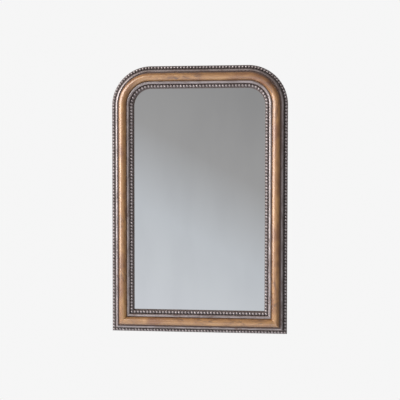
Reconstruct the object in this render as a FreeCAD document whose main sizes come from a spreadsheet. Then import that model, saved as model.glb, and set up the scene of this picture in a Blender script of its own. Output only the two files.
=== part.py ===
"""Wall mirror in a gilt frame with rounded upper corners and two rows of beads.

Millimetres, Z up. The mirror faces -Y and hangs on a wall in the plane y = 0.
The origin lies on the wall, half way between the two hooks that carry the hanging rings.
"""
import FreeCAD, Part
import math
import os
from types import SimpleNamespace

import Sketcher
from FreeCAD import Placement, Rotation, Vector

SHEET = "Sizes"
QUARTER_TURN = 90

# Driving dimensions. Widths run across the moulding from the outer edge inwards,
# heights run from the back of the frame towards the viewer.
DRIVING = {
    # The frame as a whole
    "frame_width": 600,
    "frame_height": 910,
    "corner_radius": 135,
    "hang_drop": 190,
    # Bead rows, a cast strip on a ledge along each edge of the moulding
    "bead_radius": 5,
    "bead_pitch": 10.9,
    "bead_strip_width": 11.2,
    "bead_strip_thickness": 1.6,
    "bead_clearance": 0.6,
    # Moulding, from the outer ledge over the half round to the inner ledge
    "outer_side_height": 10,
    "outer_step": 8,
    "outer_fillet_width": 9.4,
    "outer_fillet_rise": 12,
    "outer_quirk_width": 4.7,
    "outer_quirk_drop": 2.5,
    "torus_radius": 13.2,
    "torus_foot": 1.5,
    "inner_quirk_width": 3.1,
    "inner_quirk_drop": 1,
    "inner_quirk_rise": 5,
    "inner_fillet_width": 7.6,
    "inner_fillet_fall": 6,
    "inner_step": 6,
    # Glass, packing and back panel in the stepped rebate
    "glass_thickness": 4,
    "glass_lap": 12,
    "glass_gap": 2,
    "packing_thickness": 3,
    "panel_thickness": 3,
    "panel_recess": 2,
    "panel_lap": 14,
    "panel_gap": 1,
    "block_length": 40,
    "block_inset": 110,
    # Screws of the back panel
    "panel_screw_head_radius": 3,
    "panel_screw_head_height": 1.8,
    "panel_screw_shank_radius": 1.5,
    "panel_screw_length": 13,
    "panel_screw_tip": 3,
    "side_screws": 4,
    "side_screw_inset": 120,
    "rail_screws": 2,
    "rail_screw_inset": 190,
    # Dowels in the butt joints and nails in the mitres
    "dowel_radius": 4,
    "dowel_length": 36,
    "dowel_chamfer": 1,
    "dowel_height": 12,
    "dowel_inset": 22,
    "dowel_spacing": 22,
    "nail_leg": 5,
    "nail_thickness": 0.8,
    "nail_depth": 10,
    "nail_inset": 16,
    "nail_spacing": 20,
    # Hangers: a folded strap with a swinging ring on each side
    "hanger_inset": 25,
    "wire_radius": 1.75,
    "ring_inner_width": 20,
    "ring_bend": 4,
    "ring_rest_gap": 0.3,
    "strap_sheet": 1.2,
    "strap_width": 14,
    "strap_length": 36,
    "strap_end_radius": 5,
    "strap_eye_gap": 0.15,
    "strap_hole_gap": 0.2,
    "hanger_screw_head_radius": 3.8,
    "hanger_screw_head_height": 2.2,
    "hanger_screw_shank_radius": 2,
    "hanger_screw_length": 20,
    "hanger_screw_tip": 4,
    "hanger_screw_drop": 9,
    "hanger_screw_spacing": 17,
    "screw_head_round": 1,
    # Bumpers that keep the frame parallel to the wall
    "bumper_radius": 6,
    "bumper_thickness": 6.5,
    "bumper_round": 1.5,
    "bumper_rise": 45,
}


class Size:
    """A size as a formula on the sheet, together with the number it gives now."""

    def __init__(self, formula, number):
        self.formula = formula
        self.number = number

    def combined(self, sign, other, number):
        return Size(f"({self.formula} {sign} {other.formula})", number)

    def __add__(self, other):
        other = as_size(other)
        return self.combined("+", other, self.number + other.number)

    def __sub__(self, other):
        other = as_size(other)
        return self.combined("-", other, self.number - other.number)

    def __mul__(self, other):
        other = as_size(other)
        return self.combined("*", other, self.number * other.number)

    def __truediv__(self, other):
        other = as_size(other)
        return self.combined("/", other, self.number / other.number)

    def __rsub__(self, other):
        return as_size(other) - self

    def __rtruediv__(self, other):
        return as_size(other) / self

    def __neg__(self):
        return as_size(0) - self

    __radd__ = __add__
    __rmul__ = __mul__


def as_size(value):
    return value if isinstance(value, Size) else Size(str(value), value)


def rounded(size):
    return Size(f"round({size.formula})", round(size.number))


def sine(angle):
    return Size(f"sin({angle.formula})", math.sin(math.radians(angle.number)))


def cosine(angle):
    return Size(f"cos({angle.formula})", math.cos(math.radians(angle.number)))


def arc_sine(size):
    return Size(f"asin({size.formula})", math.degrees(math.asin(size.number)))


def write_sheet(doc):
    """Writes the driving dimensions and returns each as a size."""
    sheet = doc.addObject("Spreadsheet::Sheet", SHEET)
    for row, (alias, number) in enumerate(DRIVING.items(), start=1):
        sheet.set(f"A{row}", alias.replace("_", " "))
        sheet.set(f"B{row}", str(number))
        sheet.setAlias(f"B{row}", alias)
    doc.recompute()
    return SimpleNamespace(
        **{alias: Size(f"{SHEET}.{alias}", number) for alias, number in DRIVING.items()}
    )


doc = FreeCAD.newDocument("WallMirror")
d = write_sheet(doc)

# Levels and places that follow from the driving dimensions
half_width = d.frame_width / 2
top_edge = d.hang_drop
bottom_edge = d.hang_drop - d.frame_height
joint_level = top_edge - d.corner_radius
joint_reach = half_width - d.corner_radius
stile_length = d.frame_height - d.corner_radius

bead_ledge = d.bead_strip_width + 2 * d.bead_clearance
outer_fillet_end = bead_ledge + d.outer_fillet_width
torus_start = outer_fillet_end + d.outer_quirk_width
torus_middle = torus_start + d.torus_radius
torus_end = torus_middle + d.torus_radius
inner_fillet_start = torus_end + d.inner_quirk_width
inner_fillet_end = inner_fillet_start + d.inner_fillet_width
moulding_width = inner_fillet_end + bead_ledge
glass_rebate = moulding_width - d.glass_lap
panel_rebate = glass_rebate - d.panel_lap

outer_fillet_foot = d.outer_side_height + d.outer_step
outer_fillet_top = outer_fillet_foot + d.outer_fillet_rise
outer_quirk_floor = outer_fillet_top - d.outer_quirk_drop
torus_level = outer_quirk_floor + d.torus_foot
inner_quirk_floor = torus_level - d.inner_quirk_drop
inner_fillet_top = inner_quirk_floor + d.inner_quirk_rise
inner_fillet_foot = inner_fillet_top - d.inner_fillet_fall
inner_ledge_height = inner_fillet_foot - d.inner_step
panel_front = d.panel_recess + d.panel_thickness
packing_front = panel_front + d.packing_thickness
glass_front = packing_front + d.glass_thickness

strap_thickness = 2 * d.strap_sheet
eye_bore_radius = d.wire_radius + d.strap_eye_gap
eye_radius = eye_bore_radius + d.strap_sheet
ring_half_width = d.ring_inner_width / 2 + d.wire_radius
ring_reach = d.ring_bend + ring_half_width
hinge_level = d.wire_radius - ring_reach
hanger_reach = half_width - d.hanger_inset

frame_back = -d.bumper_thickness
hinge_depth = frame_back + eye_radius

# The bead rows: the distance of the row's middle from the outer edge, and its ledge
BEAD_ROWS = {
    "outer": (bead_ledge / 2, d.outer_side_height),
    "inner": (moulding_width - bead_ledge / 2, inner_ledge_height),
}

# Directions of a member: across the moulding, towards the viewer, along the member
TO_VIEWER = Vector(0, -1, 0)


def facing(across):
    """Turns local X to the given direction and local Y towards the viewer."""
    return Rotation(across, TO_VIEWER, across.cross(TO_VIEWER), "XYZ")


RIGHTWARDS = facing(Vector(1, 0, 0))
LEFTWARDS = facing(Vector(-1, 0, 0))
UPWARDS = facing(Vector(0, 0, 1))
DOWNWARDS = facing(Vector(0, 0, -1))


def bind(target, name, size):
    target.setExpression(name, as_size(size).formula)


def place(target, x, y, z, turn=None):
    """Puts an object at a place given by sizes."""
    target.Placement = Placement(Vector(), turn or Rotation())
    for axis, size in zip("xyz", (x, y, z)):
        bind(target, f"Placement.Base.{axis}", size)


def new_body(label):
    body = doc.addObject("PartDesign::Body", label)
    body.Label = label
    return body


def origin_feature(body, role):
    return next(item for item in body.Origin.OriginFeatures if item.Role == role)


def new_sketch(body, plane, name):
    sketch = body.newObject("Sketcher::SketchObject", name)
    sketch.AttachmentSupport = [(origin_feature(body, plane), "")]
    sketch.MapMode = "FlatFace"
    return sketch


def constrain_point(sketch, geometry, position, x, y):
    """Ties a point of the sketch to a place; a coordinate of plain 0 lies on the axis."""
    for kind, axis, size in (("DistanceX", -2, x), ("DistanceY", -1, y)):
        if size is None:
            continue
        if not isinstance(size, Size):
            sketch.addConstraint(Sketcher.Constraint("PointOnObject", geometry, position, axis))
            continue
        index = sketch.addConstraint(
            Sketcher.Constraint(kind, -1, 1, geometry, position, size.number)
        )
        bind(sketch, f"Constraints[{index}]", size)


def draw_outline(sketch, corners):
    """Draws a closed outline.

    A corner is (x, y) where a straight side leads on from it, or (x, y, centre) where an arc of
    under half a turn about that centre does.
    """
    points = [Vector(as_size(c[0]).number, as_size(c[1]).number, 0) for c in corners]
    ends = []
    for index, corner in enumerate(corners):
        start, end = points[index], points[(index + 1) % len(points)]
        if len(corner) == 2:
            geometry = sketch.addGeometry(Part.LineSegment(start, end))
            ends.append((geometry, 1, 2))
            continue
        centre = Vector(*(as_size(size).number for size in corner[2]), 0)
        first, last = start - centre, end - centre
        leftwards = first.cross(last).z > 0
        if not leftwards:
            first, last = last, first
        circle = Part.Circle(centre, Vector(0, 0, 1), first.Length)
        arc = Part.ArcOfCircle(circle, math.atan2(first.y, first.x), math.atan2(last.y, last.x))
        geometry = sketch.addGeometry(arc)
        ends.append((geometry, 1, 2) if leftwards else (geometry, 2, 1))
    for index, (geometry, _, end) in enumerate(ends):
        following, start, _ = ends[(index + 1) % len(ends)]
        sketch.addConstraint(Sketcher.Constraint("Coincident", geometry, end, following, start))
    for corner, (geometry, start, _) in zip(corners, ends):
        constrain_point(sketch, geometry, start, corner[0], corner[1])
        if len(corner) == 3:
            constrain_point(sketch, geometry, 3, None, corner[2][1])


def draw_circle(sketch, x, y, radius):
    centre = Vector(as_size(x).number, as_size(y).number, 0)
    geometry = sketch.addGeometry(Part.Circle(centre, Vector(0, 0, 1), radius.number))
    constrain_point(sketch, geometry, 3, x, y)
    index = sketch.addConstraint(Sketcher.Constraint("Radius", geometry, radius.number))
    bind(sketch, f"Constraints[{index}]", radius)


def rectangle(x_low, x_high, y_low, y_high):
    return [(x_low, y_low), (x_high, y_low), (x_high, y_high), (x_low, y_high)]


def pad(body, sketch, length, symmetric=False):
    feature = body.newObject("PartDesign::Pad", "Pad")
    feature.Profile = sketch
    feature.SideType = "Symmetric" if symmetric else "One side"
    bind(feature, "Length", length)
    return feature


def pocket_through(body, sketch):
    """Cuts the outline through the whole solid, on both sides of the sketch."""
    feature = body.newObject("PartDesign::Pocket", "Pocket")
    feature.Profile = sketch
    feature.SideType = "Symmetric"
    feature.Type = "ThroughAll"


def revolve(body, sketch, axis="V_Axis", angle=360, backwards=False):
    feature = body.newObject("PartDesign::Revolution", "Revolution")
    feature.Profile = sketch
    feature.ReferenceAxis = (sketch, [axis])
    feature.Angle = angle
    feature.Reversed = backwards
    return feature


def repeat(body, feature, axis, spacing, count, cross_axis=None, cross_spacing=None, cross_count=2):
    """Repeats a feature along one axis of its body, or over a grid along two."""
    pattern = body.newObject("PartDesign::LinearPattern", "LinearPattern")
    pattern.Originals = [feature]
    pattern.Direction = (origin_feature(body, axis), [""])
    bind(pattern, "Length", spacing * (count - 1))
    bind(pattern, "Occurrences", count)
    if cross_axis:
        pattern.Direction2 = (origin_feature(body, cross_axis), [""])
        bind(pattern, "Length2", cross_spacing * (cross_count - 1))
        bind(pattern, "Occurrences2", cross_count)
    body.Tip = pattern


# Frame members


def fillet_radius(run, rise):
    """Radius of the round that leaves its foot upright and ends run and rise away."""
    return (run * run + rise * rise) / (2 * run)


def moulding_section(across):
    """Corners of the moulding's section, with each width put through across."""
    outer_radius = fillet_radius(d.outer_fillet_width, d.outer_fillet_rise)
    inner_radius = fillet_radius(d.inner_fillet_width, d.inner_fillet_fall)
    outer_centre = (across(bead_ledge + outer_radius), outer_fillet_foot)
    torus_centre = (across(torus_middle), torus_level)
    inner_centre = (across(inner_fillet_end - inner_radius), inner_fillet_foot)
    return [
        (across(0), 0),
        (across(0), d.outer_side_height),
        (across(bead_ledge), d.outer_side_height),
        (across(bead_ledge), outer_fillet_foot, outer_centre),
        (across(outer_fillet_end), outer_fillet_top),
        (across(outer_fillet_end), outer_quirk_floor),
        (across(torus_start), outer_quirk_floor),
        (across(torus_start), torus_level, torus_centre),
        (across(torus_middle), torus_level + d.torus_radius, torus_centre),
        (across(torus_end), torus_level),
        (across(torus_end), inner_quirk_floor),
        (across(inner_fillet_start), inner_quirk_floor),
        (across(inner_fillet_start), inner_fillet_top, inner_centre),
        (across(inner_fillet_end), inner_fillet_foot),
        (across(inner_fillet_end), inner_ledge_height),
        (across(moulding_width), inner_ledge_height),
        (across(moulding_width), glass_front),
        (across(glass_rebate), glass_front),
        (across(glass_rebate), panel_front),
        (across(panel_rebate), panel_front),
        (across(panel_rebate), 0),
    ]


def mitre_corners(end, outwards):
    """Triangle that a mitre takes off a member's end; outwards is the sign of the way out."""
    over = moulding_width
    return [
        (-over, end + outwards * over),
        (moulding_width + over, end - outwards * (moulding_width + over)),
        (moulding_width + over, end + outwards * over),
    ]


def straight_member(label, turn, start, length, mitres=()):
    """A straight length of the moulding, mitred where mitres gives (end, way out)."""
    body = new_body(label)
    section = new_sketch(body, "XY_Plane", "Section")
    draw_outline(section, moulding_section(lambda width: width))
    pad(body, section, length)
    for end, outwards in mitres:
        mitre = new_sketch(body, "XZ_Plane", "Mitre")
        draw_outline(mitre, mitre_corners(end, outwards))
        pocket_through(body, mitre)
    place(body, *start, turn)
    return body


def corner_member(label, turn, side):
    """A quarter ring of the moulding about the centre of an upper corner."""
    body = new_body(label)
    section = new_sketch(body, "XY_Plane", "Section")
    draw_outline(section, moulding_section(lambda width: d.corner_radius - width))
    revolve(body, section, angle=QUARTER_TURN, backwards=side < 0)
    place(body, side * joint_reach, frame_back, joint_level, turn)
    return body


def frame_blanks():
    """The six members of the frame before their fasteners are let in."""
    return {
        "left_stile": straight_member(
            "left_stile_blank",
            RIGHTWARDS,
            (-half_width, frame_back, joint_level),
            stile_length,
            [(stile_length, 1)],
        ),
        "right_stile": straight_member(
            "right_stile_blank",
            LEFTWARDS,
            (half_width, frame_back, bottom_edge),
            stile_length,
            [(as_size(0), -1)],
        ),
        "bottom_rail": straight_member(
            "bottom_rail_blank",
            UPWARDS,
            (-half_width, frame_back, bottom_edge),
            d.frame_width,
            [(as_size(0), -1), (d.frame_width, 1)],
        ),
        "top_rail": straight_member(
            "top_rail_blank",
            DOWNWARDS,
            (joint_reach, frame_back, top_edge),
            2 * joint_reach,
        ),
        "left_corner": corner_member("left_corner_blank", LEFTWARDS, -1),
        "right_corner": corner_member("right_corner_blank", RIGHTWARDS, 1),
    }


# Bead rows


def bead_section():
    """Half section of one bead, from the strip's underside to its crown."""
    shoulder = d.bead_strip_thickness
    return [
        (0, 0),
        (d.bead_radius, 0),
        (d.bead_radius, shoulder, (as_size(0), shoulder)),
        (0, shoulder + d.bead_radius),
    ]


def straight_strip(label, turn, start, length, first_bead, spacing, count):
    """A straight strip with a row of beads along it; first_bead is the way to the first one."""
    body = new_body(label)
    base = new_sketch(body, "XY_Plane", "Strip")
    half_strip = d.bead_strip_width / 2
    draw_outline(base, rectangle(-half_strip, half_strip, 0, d.bead_strip_thickness))
    pad(body, base, length)
    section = new_sketch(body, "XY_Plane", "Bead")
    bind(section, "AttachmentOffset.Base.z", first_bead)
    draw_outline(section, bead_section())
    repeat(body, revolve(body, section), "Z_Axis", spacing, count)
    place(body, *start, turn)
    return body


def corner_strip(label, turn, side, row_inset, row_depth):
    """A quarter ring of beads round an upper corner."""
    body = new_body(label)
    row_radius = d.corner_radius - row_inset
    half_strip = d.bead_strip_width / 2
    base = new_sketch(body, "XY_Plane", "Strip")
    strip_edges = (row_radius - half_strip, row_radius + half_strip)
    draw_outline(base, rectangle(*strip_edges, 0, d.bead_strip_thickness))
    revolve(body, base, angle=QUARTER_TURN, backwards=side < 0)

    count = rounded(row_radius * math.pi / 2 / d.bead_pitch)
    step = QUARTER_TURN / count
    section = new_sketch(body, "XY_Plane", "Bead")
    bind(section, "AttachmentOffset.Base.x", row_radius * cosine(step / 2))
    bind(section, "AttachmentOffset.Base.z", -side * row_radius * sine(step / 2))
    draw_outline(section, bead_section())
    bead = revolve(body, section)
    pattern = body.newObject("PartDesign::PolarPattern", "PolarPattern")
    pattern.Originals = [bead]
    pattern.Axis = (origin_feature(body, "Y_Axis"), [""])
    pattern.Mode = "Spacing"
    pattern.Reversed = side < 0
    bind(pattern, "Offset", step)
    bind(pattern, "Occurrences", count)
    body.Tip = pattern
    place(body, side * joint_reach, row_depth, joint_level, turn)


def bead_row(row, row_inset, ledge):
    """The six strips of one row; the row keeps its pitch across the joints and mitres."""
    half_strip = d.bead_strip_width / 2
    row_depth = frame_back - ledge
    row_reach = half_width - row_inset

    side_run = stile_length - row_inset
    side_count = rounded(side_run / d.bead_pitch - 0.5)
    side_spacing = side_run / (side_count + 0.5)
    side_length = side_run - half_strip
    straight_strip(
        f"{row}_beads_left",
        RIGHTWARDS,
        (-row_reach, row_depth, joint_level),
        side_length,
        side_spacing / 2,
        side_spacing,
        side_count,
    )
    straight_strip(
        f"{row}_beads_right",
        LEFTWARDS,
        (row_reach, row_depth, bottom_edge + row_inset + half_strip),
        side_length,
        side_spacing - half_strip,
        side_spacing,
        side_count,
    )

    bottom_gaps = rounded(2 * row_reach / d.bead_pitch)
    straight_strip(
        f"{row}_beads_bottom",
        UPWARDS,
        (-row_reach - half_strip, row_depth, bottom_edge + row_inset),
        2 * row_reach + d.bead_strip_width,
        half_strip,
        2 * row_reach / bottom_gaps,
        bottom_gaps + 1,
    )

    top_count = rounded(2 * joint_reach / d.bead_pitch)
    top_spacing = 2 * joint_reach / top_count
    straight_strip(
        f"{row}_beads_top",
        DOWNWARDS,
        (joint_reach, row_depth, top_edge - row_inset),
        2 * joint_reach,
        top_spacing / 2,
        top_spacing,
        top_count,
    )

    corner_strip(f"{row}_beads_left_corner", LEFTWARDS, -1, row_inset, row_depth)
    corner_strip(f"{row}_beads_right_corner", RIGHTWARDS, 1, row_inset, row_depth)


# Glass, packing and back panel


def arched_sheet(label, inset, back, thickness):
    """A sheet with rounded upper corners, inset from the frame's outer edge all round."""
    body = new_body(label)
    sheet = new_sketch(body, "XZ_Plane", "Sheet")
    side = half_width - inset
    foot = bottom_edge + inset
    head = top_edge - inset
    draw_outline(
        sheet,
        [
            (-side, foot),
            (side, foot),
            (side, joint_level, (joint_reach, joint_level)),
            (joint_reach, head),
            (-joint_reach, head, (-joint_reach, joint_level)),
            (-side, joint_level),
        ],
    )
    pad(body, sheet, thickness)
    place(body, 0, frame_back - back, 0)
    return body


def setting_blocks():
    """Two blocks under the glass that carry its weight on the bottom rail."""
    body = new_body("setting_blocks")
    block = new_sketch(body, "XZ_Plane", "Block")
    draw_outline(block, rectangle(0, d.block_length, 0, d.glass_gap))
    spacing = d.frame_width - 2 * d.block_inset - d.block_length
    repeat(body, pad(body, block, d.glass_thickness), "X_Axis", spacing, 2)
    start = d.block_inset - half_width
    place(body, start, frame_back - packing_front, bottom_edge + glass_rebate)


# Fasteners inside the frame


def screw_section(seat, head_radius, head_height, shank_radius, length, tip):
    """Half section of a pan head screw whose head rests on the level seat."""
    crown = seat + head_height
    rim = head_radius - d.screw_head_round
    brim = crown - d.screw_head_round
    return [
        (0, crown),
        (rim, crown, (rim, brim)),
        (head_radius, brim),
        (head_radius, seat),
        (shank_radius, seat),
        (shank_radius, seat - length + tip),
        (0, seat - length),
    ]


def screw_at(body, x, z, section):
    sketch = new_sketch(body, "XY_Plane", "Screw")
    bind(sketch, "AttachmentOffset.Base.x", x)
    bind(sketch, "AttachmentOffset.Base.z", z)
    draw_outline(sketch, section)
    return revolve(body, sketch)


def panel_screws():
    """Screws through the back panel, in a column on each stile and a row on each rail."""
    body = new_body("panel_screws")
    screw_line = panel_rebate + d.panel_lap / 2
    section = screw_section(
        -d.panel_recess,
        d.panel_screw_head_radius,
        d.panel_screw_head_height,
        d.panel_screw_shank_radius,
        d.panel_screw_length,
        d.panel_screw_tip,
    )
    column_reach = half_width - screw_line
    column_spacing = (stile_length - 2 * d.side_screw_inset) / (d.side_screws - 1)
    first = screw_at(body, -column_reach, bottom_edge + d.side_screw_inset, section)
    repeat(body, first, "X_Axis", 2 * column_reach, 2, "Z_Axis", column_spacing, d.side_screws)

    row_reach = half_width - d.rail_screw_inset
    row_spacing = 2 * row_reach / (d.rail_screws - 1)
    row_rise = d.frame_height - 2 * screw_line
    first = screw_at(body, -row_reach, bottom_edge + screw_line, section)
    repeat(body, first, "X_Axis", row_spacing, d.rail_screws, "Z_Axis", row_rise, 2)
    place(body, 0, frame_back, 0)
    return body


def hanger_screws():
    """Two screws through each hanger strap."""
    body = new_body("hanger_screws")
    section = screw_section(
        strap_thickness,
        d.hanger_screw_head_radius,
        d.hanger_screw_head_height,
        d.hanger_screw_shank_radius,
        d.hanger_screw_length,
        d.hanger_screw_tip,
    )
    lowest = hinge_level - d.hanger_screw_drop - d.hanger_screw_spacing
    first = screw_at(body, -hanger_reach, lowest, section)
    spacing = d.hanger_screw_spacing
    repeat(body, first, "X_Axis", 2 * hanger_reach, 2, "Z_Axis", spacing, 2)
    place(body, 0, frame_back, 0)
    return body


def dowel_at(body, x, z, axis):
    """A dowel with bevelled ends, along the sketch axis named."""
    half_length = d.dowel_length / 2
    shoulder = half_length - d.dowel_chamfer
    tip_radius = d.dowel_radius - d.dowel_chamfer
    section = [
        (0, -half_length),
        (tip_radius, -half_length),
        (d.dowel_radius, -shoulder),
        (d.dowel_radius, shoulder),
        (tip_radius, half_length),
        (0, half_length),
    ]
    if axis == "H_Axis":
        section = [(along, radius) for radius, along in section]
    sketch = new_sketch(body, "XZ_Plane", "Dowel")
    bind(sketch, "AttachmentOffset.Base.x", x)
    bind(sketch, "AttachmentOffset.Base.y", z)
    bind(sketch, "AttachmentOffset.Base.z", d.dowel_height)
    draw_outline(sketch, section)
    dowel = revolve(body, sketch, axis)
    return dowel


def corner_dowels():
    """A pair of dowels in each of the four butt joints beside the rounded corners."""
    body = new_body("corner_dowels")
    inner_inset = d.dowel_inset + d.dowel_spacing
    upright = dowel_at(body, d.dowel_inset - half_width, joint_level, "V_Axis")
    pair_spacing = d.frame_width - d.dowel_inset - inner_inset
    repeat(body, upright, "X_Axis", d.dowel_spacing, 2, "X_Axis", pair_spacing, 2)
    level = dowel_at(body, -joint_reach, top_edge - inner_inset, "H_Axis")
    repeat(body, level, "Z_Axis", d.dowel_spacing, 2, "X_Axis", 2 * joint_reach, 2)
    place(body, 0, frame_back, 0)
    return body


def mitre_nails():
    """Angled nails driven from the back across both mitres, two in each."""
    body = new_body("mitre_nails")
    sketch = new_sketch(body, "XZ_Plane", "Nails")
    for inset in (d.nail_inset, d.nail_inset + d.nail_spacing):
        x = inset - half_width
        z = bottom_edge + inset
        draw_outline(
            sketch,
            [
                (x, z),
                (x + d.nail_leg, z),
                (x + d.nail_leg, z + d.nail_thickness),
                (x + d.nail_thickness, z + d.nail_thickness),
                (x + d.nail_thickness, z + d.nail_leg),
                (x, z + d.nail_leg),
            ],
        )
    nails = pad(body, sketch, d.nail_depth)
    mirrored = body.newObject("PartDesign::Mirrored", "Mirrored")
    mirrored.Originals = [nails]
    mirrored.MirrorPlane = (origin_feature(body, "YZ_Plane"), [""])
    body.Tip = mirrored
    place(body, 0, frame_back, 0)
    return body


# Hangers and bumpers


def hanger_strap(label, side):
    """A strap folded round the ring's bar, with two holes for its screws."""
    body = new_body(label)
    half_strap = d.strap_width / 2
    round_foot = d.strap_end_radius - d.strap_length
    round_side = half_strap - d.strap_end_radius
    plate = new_sketch(body, "XZ_Plane", "Plate")
    bind(plate, "AttachmentOffset.Base.z", eye_radius - strap_thickness)
    draw_outline(
        plate,
        [
            (half_strap, 0),
            (-half_strap, 0),
            (-half_strap, round_foot, (-round_side, round_foot)),
            (-round_side, -d.strap_length),
            (round_side, -d.strap_length, (round_side, round_foot)),
            (half_strap, round_foot),
        ],
    )
    pad(body, plate, strap_thickness)
    eye = new_sketch(body, "YZ_Plane", "Eye")
    draw_circle(eye, 0, 0, eye_radius)
    pad(body, eye, d.strap_width, symmetric=True)
    bore = new_sketch(body, "YZ_Plane", "Bore")
    draw_circle(bore, 0, 0, eye_bore_radius)
    pocket_through(body, bore)
    holes = new_sketch(body, "XZ_Plane", "Holes")
    for drop in (d.hanger_screw_drop, d.hanger_screw_drop + d.hanger_screw_spacing):
        draw_circle(holes, 0, -drop, d.hanger_screw_shank_radius + d.strap_hole_gap)
    pocket_through(body, holes)
    place(body, side * hanger_reach, hinge_depth, hinge_level)


def hanger_ring(label, side):
    """A D-shaped wire ring, raised and leaning back on the stile."""
    body = new_body(label)
    bar_end = ring_half_width - d.ring_bend
    crown_centre = (as_size(0), d.ring_bend)
    path = new_sketch(body, "XZ_Plane", "Path")
    draw_outline(
        path,
        [
            (0, 0),
            (bar_end, 0, (bar_end, d.ring_bend)),
            (ring_half_width, d.ring_bend, crown_centre),
            (0, ring_reach, crown_centre),
            (-ring_half_width, d.ring_bend, (-bar_end, d.ring_bend)),
            (-bar_end, 0),
        ],
    )
    wire = new_sketch(body, "YZ_Plane", "Wire")
    draw_circle(wire, 0, 0, d.wire_radius)
    pipe = body.newObject("PartDesign::AdditivePipe", "Ring")
    pipe.Profile = wire
    pipe.Spine = path
    lean = arc_sine((eye_radius - d.wire_radius - d.ring_rest_gap) / ring_reach)
    turn = Rotation(Vector(1, 0, 0), lean.number)
    place(body, side * hanger_reach, hinge_depth, hinge_level, turn)
    bind(body, "Placement.Rotation.Angle", lean)


def wall_bumpers():
    """Two round pads low on the back that hold the frame off the wall."""
    body = new_body("wall_bumpers")
    section = new_sketch(body, "XY_Plane", "Bumper")
    rim = d.bumper_radius - d.bumper_round
    draw_outline(
        section,
        [
            (0, 0),
            (rim, 0, (rim, -d.bumper_round)),
            (d.bumper_radius, -d.bumper_round),
            (d.bumper_radius, -d.bumper_thickness),
            (0, -d.bumper_thickness),
        ],
    )
    repeat(body, revolve(body, section), "X_Axis", 2 * hanger_reach, 2)
    place(body, -hanger_reach, 0, bottom_edge + d.bumper_rise)


def let_in(label, blank, fasteners):
    """Cuts the seats of the fasteners into a blank."""
    cut = doc.addObject("Part::Cut", label)
    cut.Label = label
    cut.Base = blank
    cut.Tool = fasteners


def build():
    """Makes every piece in the document."""
    panel_fixings = panel_screws()
    fasteners = doc.addObject("Part::Compound", "fasteners")
    fasteners.Links = [panel_fixings, hanger_screws(), corner_dowels(), mitre_nails()]
    for label, blank in frame_blanks().items():
        let_in(label, blank, fasteners)
    for row, (row_inset, ledge) in BEAD_ROWS.items():
        bead_row(row, row_inset, ledge)

    glass_inset = glass_rebate + d.glass_gap
    panel_inset = panel_rebate + d.panel_gap
    panel = arched_sheet("back_panel_blank", panel_inset, d.panel_recess, d.panel_thickness)
    let_in("back_panel", panel, panel_fixings)
    arched_sheet("packing_sheet", glass_inset, panel_front, d.packing_thickness)
    arched_sheet("mirror_glass", glass_inset, packing_front, d.glass_thickness)
    setting_blocks()

    for name, side in (("left", -1), ("right", 1)):
        hanger_strap(f"{name}_hanger_strap", side)
        hanger_ring(f"{name}_hanger_ring", side)
    wall_bumpers()


def finished_pieces():
    """The document's pieces: each body or cut that nothing else is cut from."""
    makers = [item for item in doc.Objects if item.TypeId in ("PartDesign::Body", "Part::Cut")]
    blanks = [item.Base for item in makers if item.TypeId == "Part::Cut"]
    return [item for item in makers if item not in blanks]


def check():
    """Stops if any object failed or any piece is empty or not valid."""
    for item in doc.Objects:
        if "Invalid" in item.State or "Error" in item.State:
            raise RuntimeError(f"{item.Label} failed: {item.State}")
    for piece in finished_pieces():
        if piece.Shape.isNull() or not piece.Shape.isValid() or not piece.Shape.Solids:
            raise RuntimeError(f"{piece.Label} has no valid solid")


def export():
    """Writes each piece under its own name."""
    os.makedirs("parts", exist_ok=True)
    for piece in finished_pieces():
        piece.Shape.exportStep(f"parts/{piece.Label}.step")
        print(f"{piece.Label}: {len(piece.Shape.Solids)} solids, {piece.Shape.Volume:.0f} mm3")


build()
doc.recompute()
check()
export()
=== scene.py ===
"""Looks of a wall mirror.

A gilt moulding with rounded upper corners, two rows of silvered beads, plain mirror glass,
and a screwed back with ring hangers.
"""

import logging
import math
from collections.abc import Callable, Iterable, Sequence
from dataclasses import dataclass
from enum import Enum, IntEnum
from functools import partial

import bmesh
import bpy
from bmesh.types import BMEdge, BMesh, BMFace, BMVert
from mathutils import Matrix, Vector


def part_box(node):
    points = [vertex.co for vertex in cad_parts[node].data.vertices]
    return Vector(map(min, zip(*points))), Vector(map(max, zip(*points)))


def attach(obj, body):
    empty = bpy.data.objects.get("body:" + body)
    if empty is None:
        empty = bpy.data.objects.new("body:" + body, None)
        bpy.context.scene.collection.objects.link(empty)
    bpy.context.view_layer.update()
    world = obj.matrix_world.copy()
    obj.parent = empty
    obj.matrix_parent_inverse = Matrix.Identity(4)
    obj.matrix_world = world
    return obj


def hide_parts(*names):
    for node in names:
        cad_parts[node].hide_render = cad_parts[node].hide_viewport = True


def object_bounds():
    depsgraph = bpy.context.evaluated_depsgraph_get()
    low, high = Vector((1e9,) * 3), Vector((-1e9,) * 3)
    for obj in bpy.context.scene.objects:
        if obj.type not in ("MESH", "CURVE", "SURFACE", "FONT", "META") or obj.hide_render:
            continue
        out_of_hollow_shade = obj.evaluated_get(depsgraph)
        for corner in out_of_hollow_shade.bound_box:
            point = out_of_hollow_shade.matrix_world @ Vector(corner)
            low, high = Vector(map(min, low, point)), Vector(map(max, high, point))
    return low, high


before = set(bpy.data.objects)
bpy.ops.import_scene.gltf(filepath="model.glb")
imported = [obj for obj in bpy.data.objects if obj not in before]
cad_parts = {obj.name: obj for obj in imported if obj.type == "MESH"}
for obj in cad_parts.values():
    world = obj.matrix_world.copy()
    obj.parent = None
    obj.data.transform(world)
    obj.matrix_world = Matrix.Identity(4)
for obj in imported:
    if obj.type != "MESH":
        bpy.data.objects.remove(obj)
cad_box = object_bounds()

LOG = logging.getLogger("wall_mirror")
MM = 0.001
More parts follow.
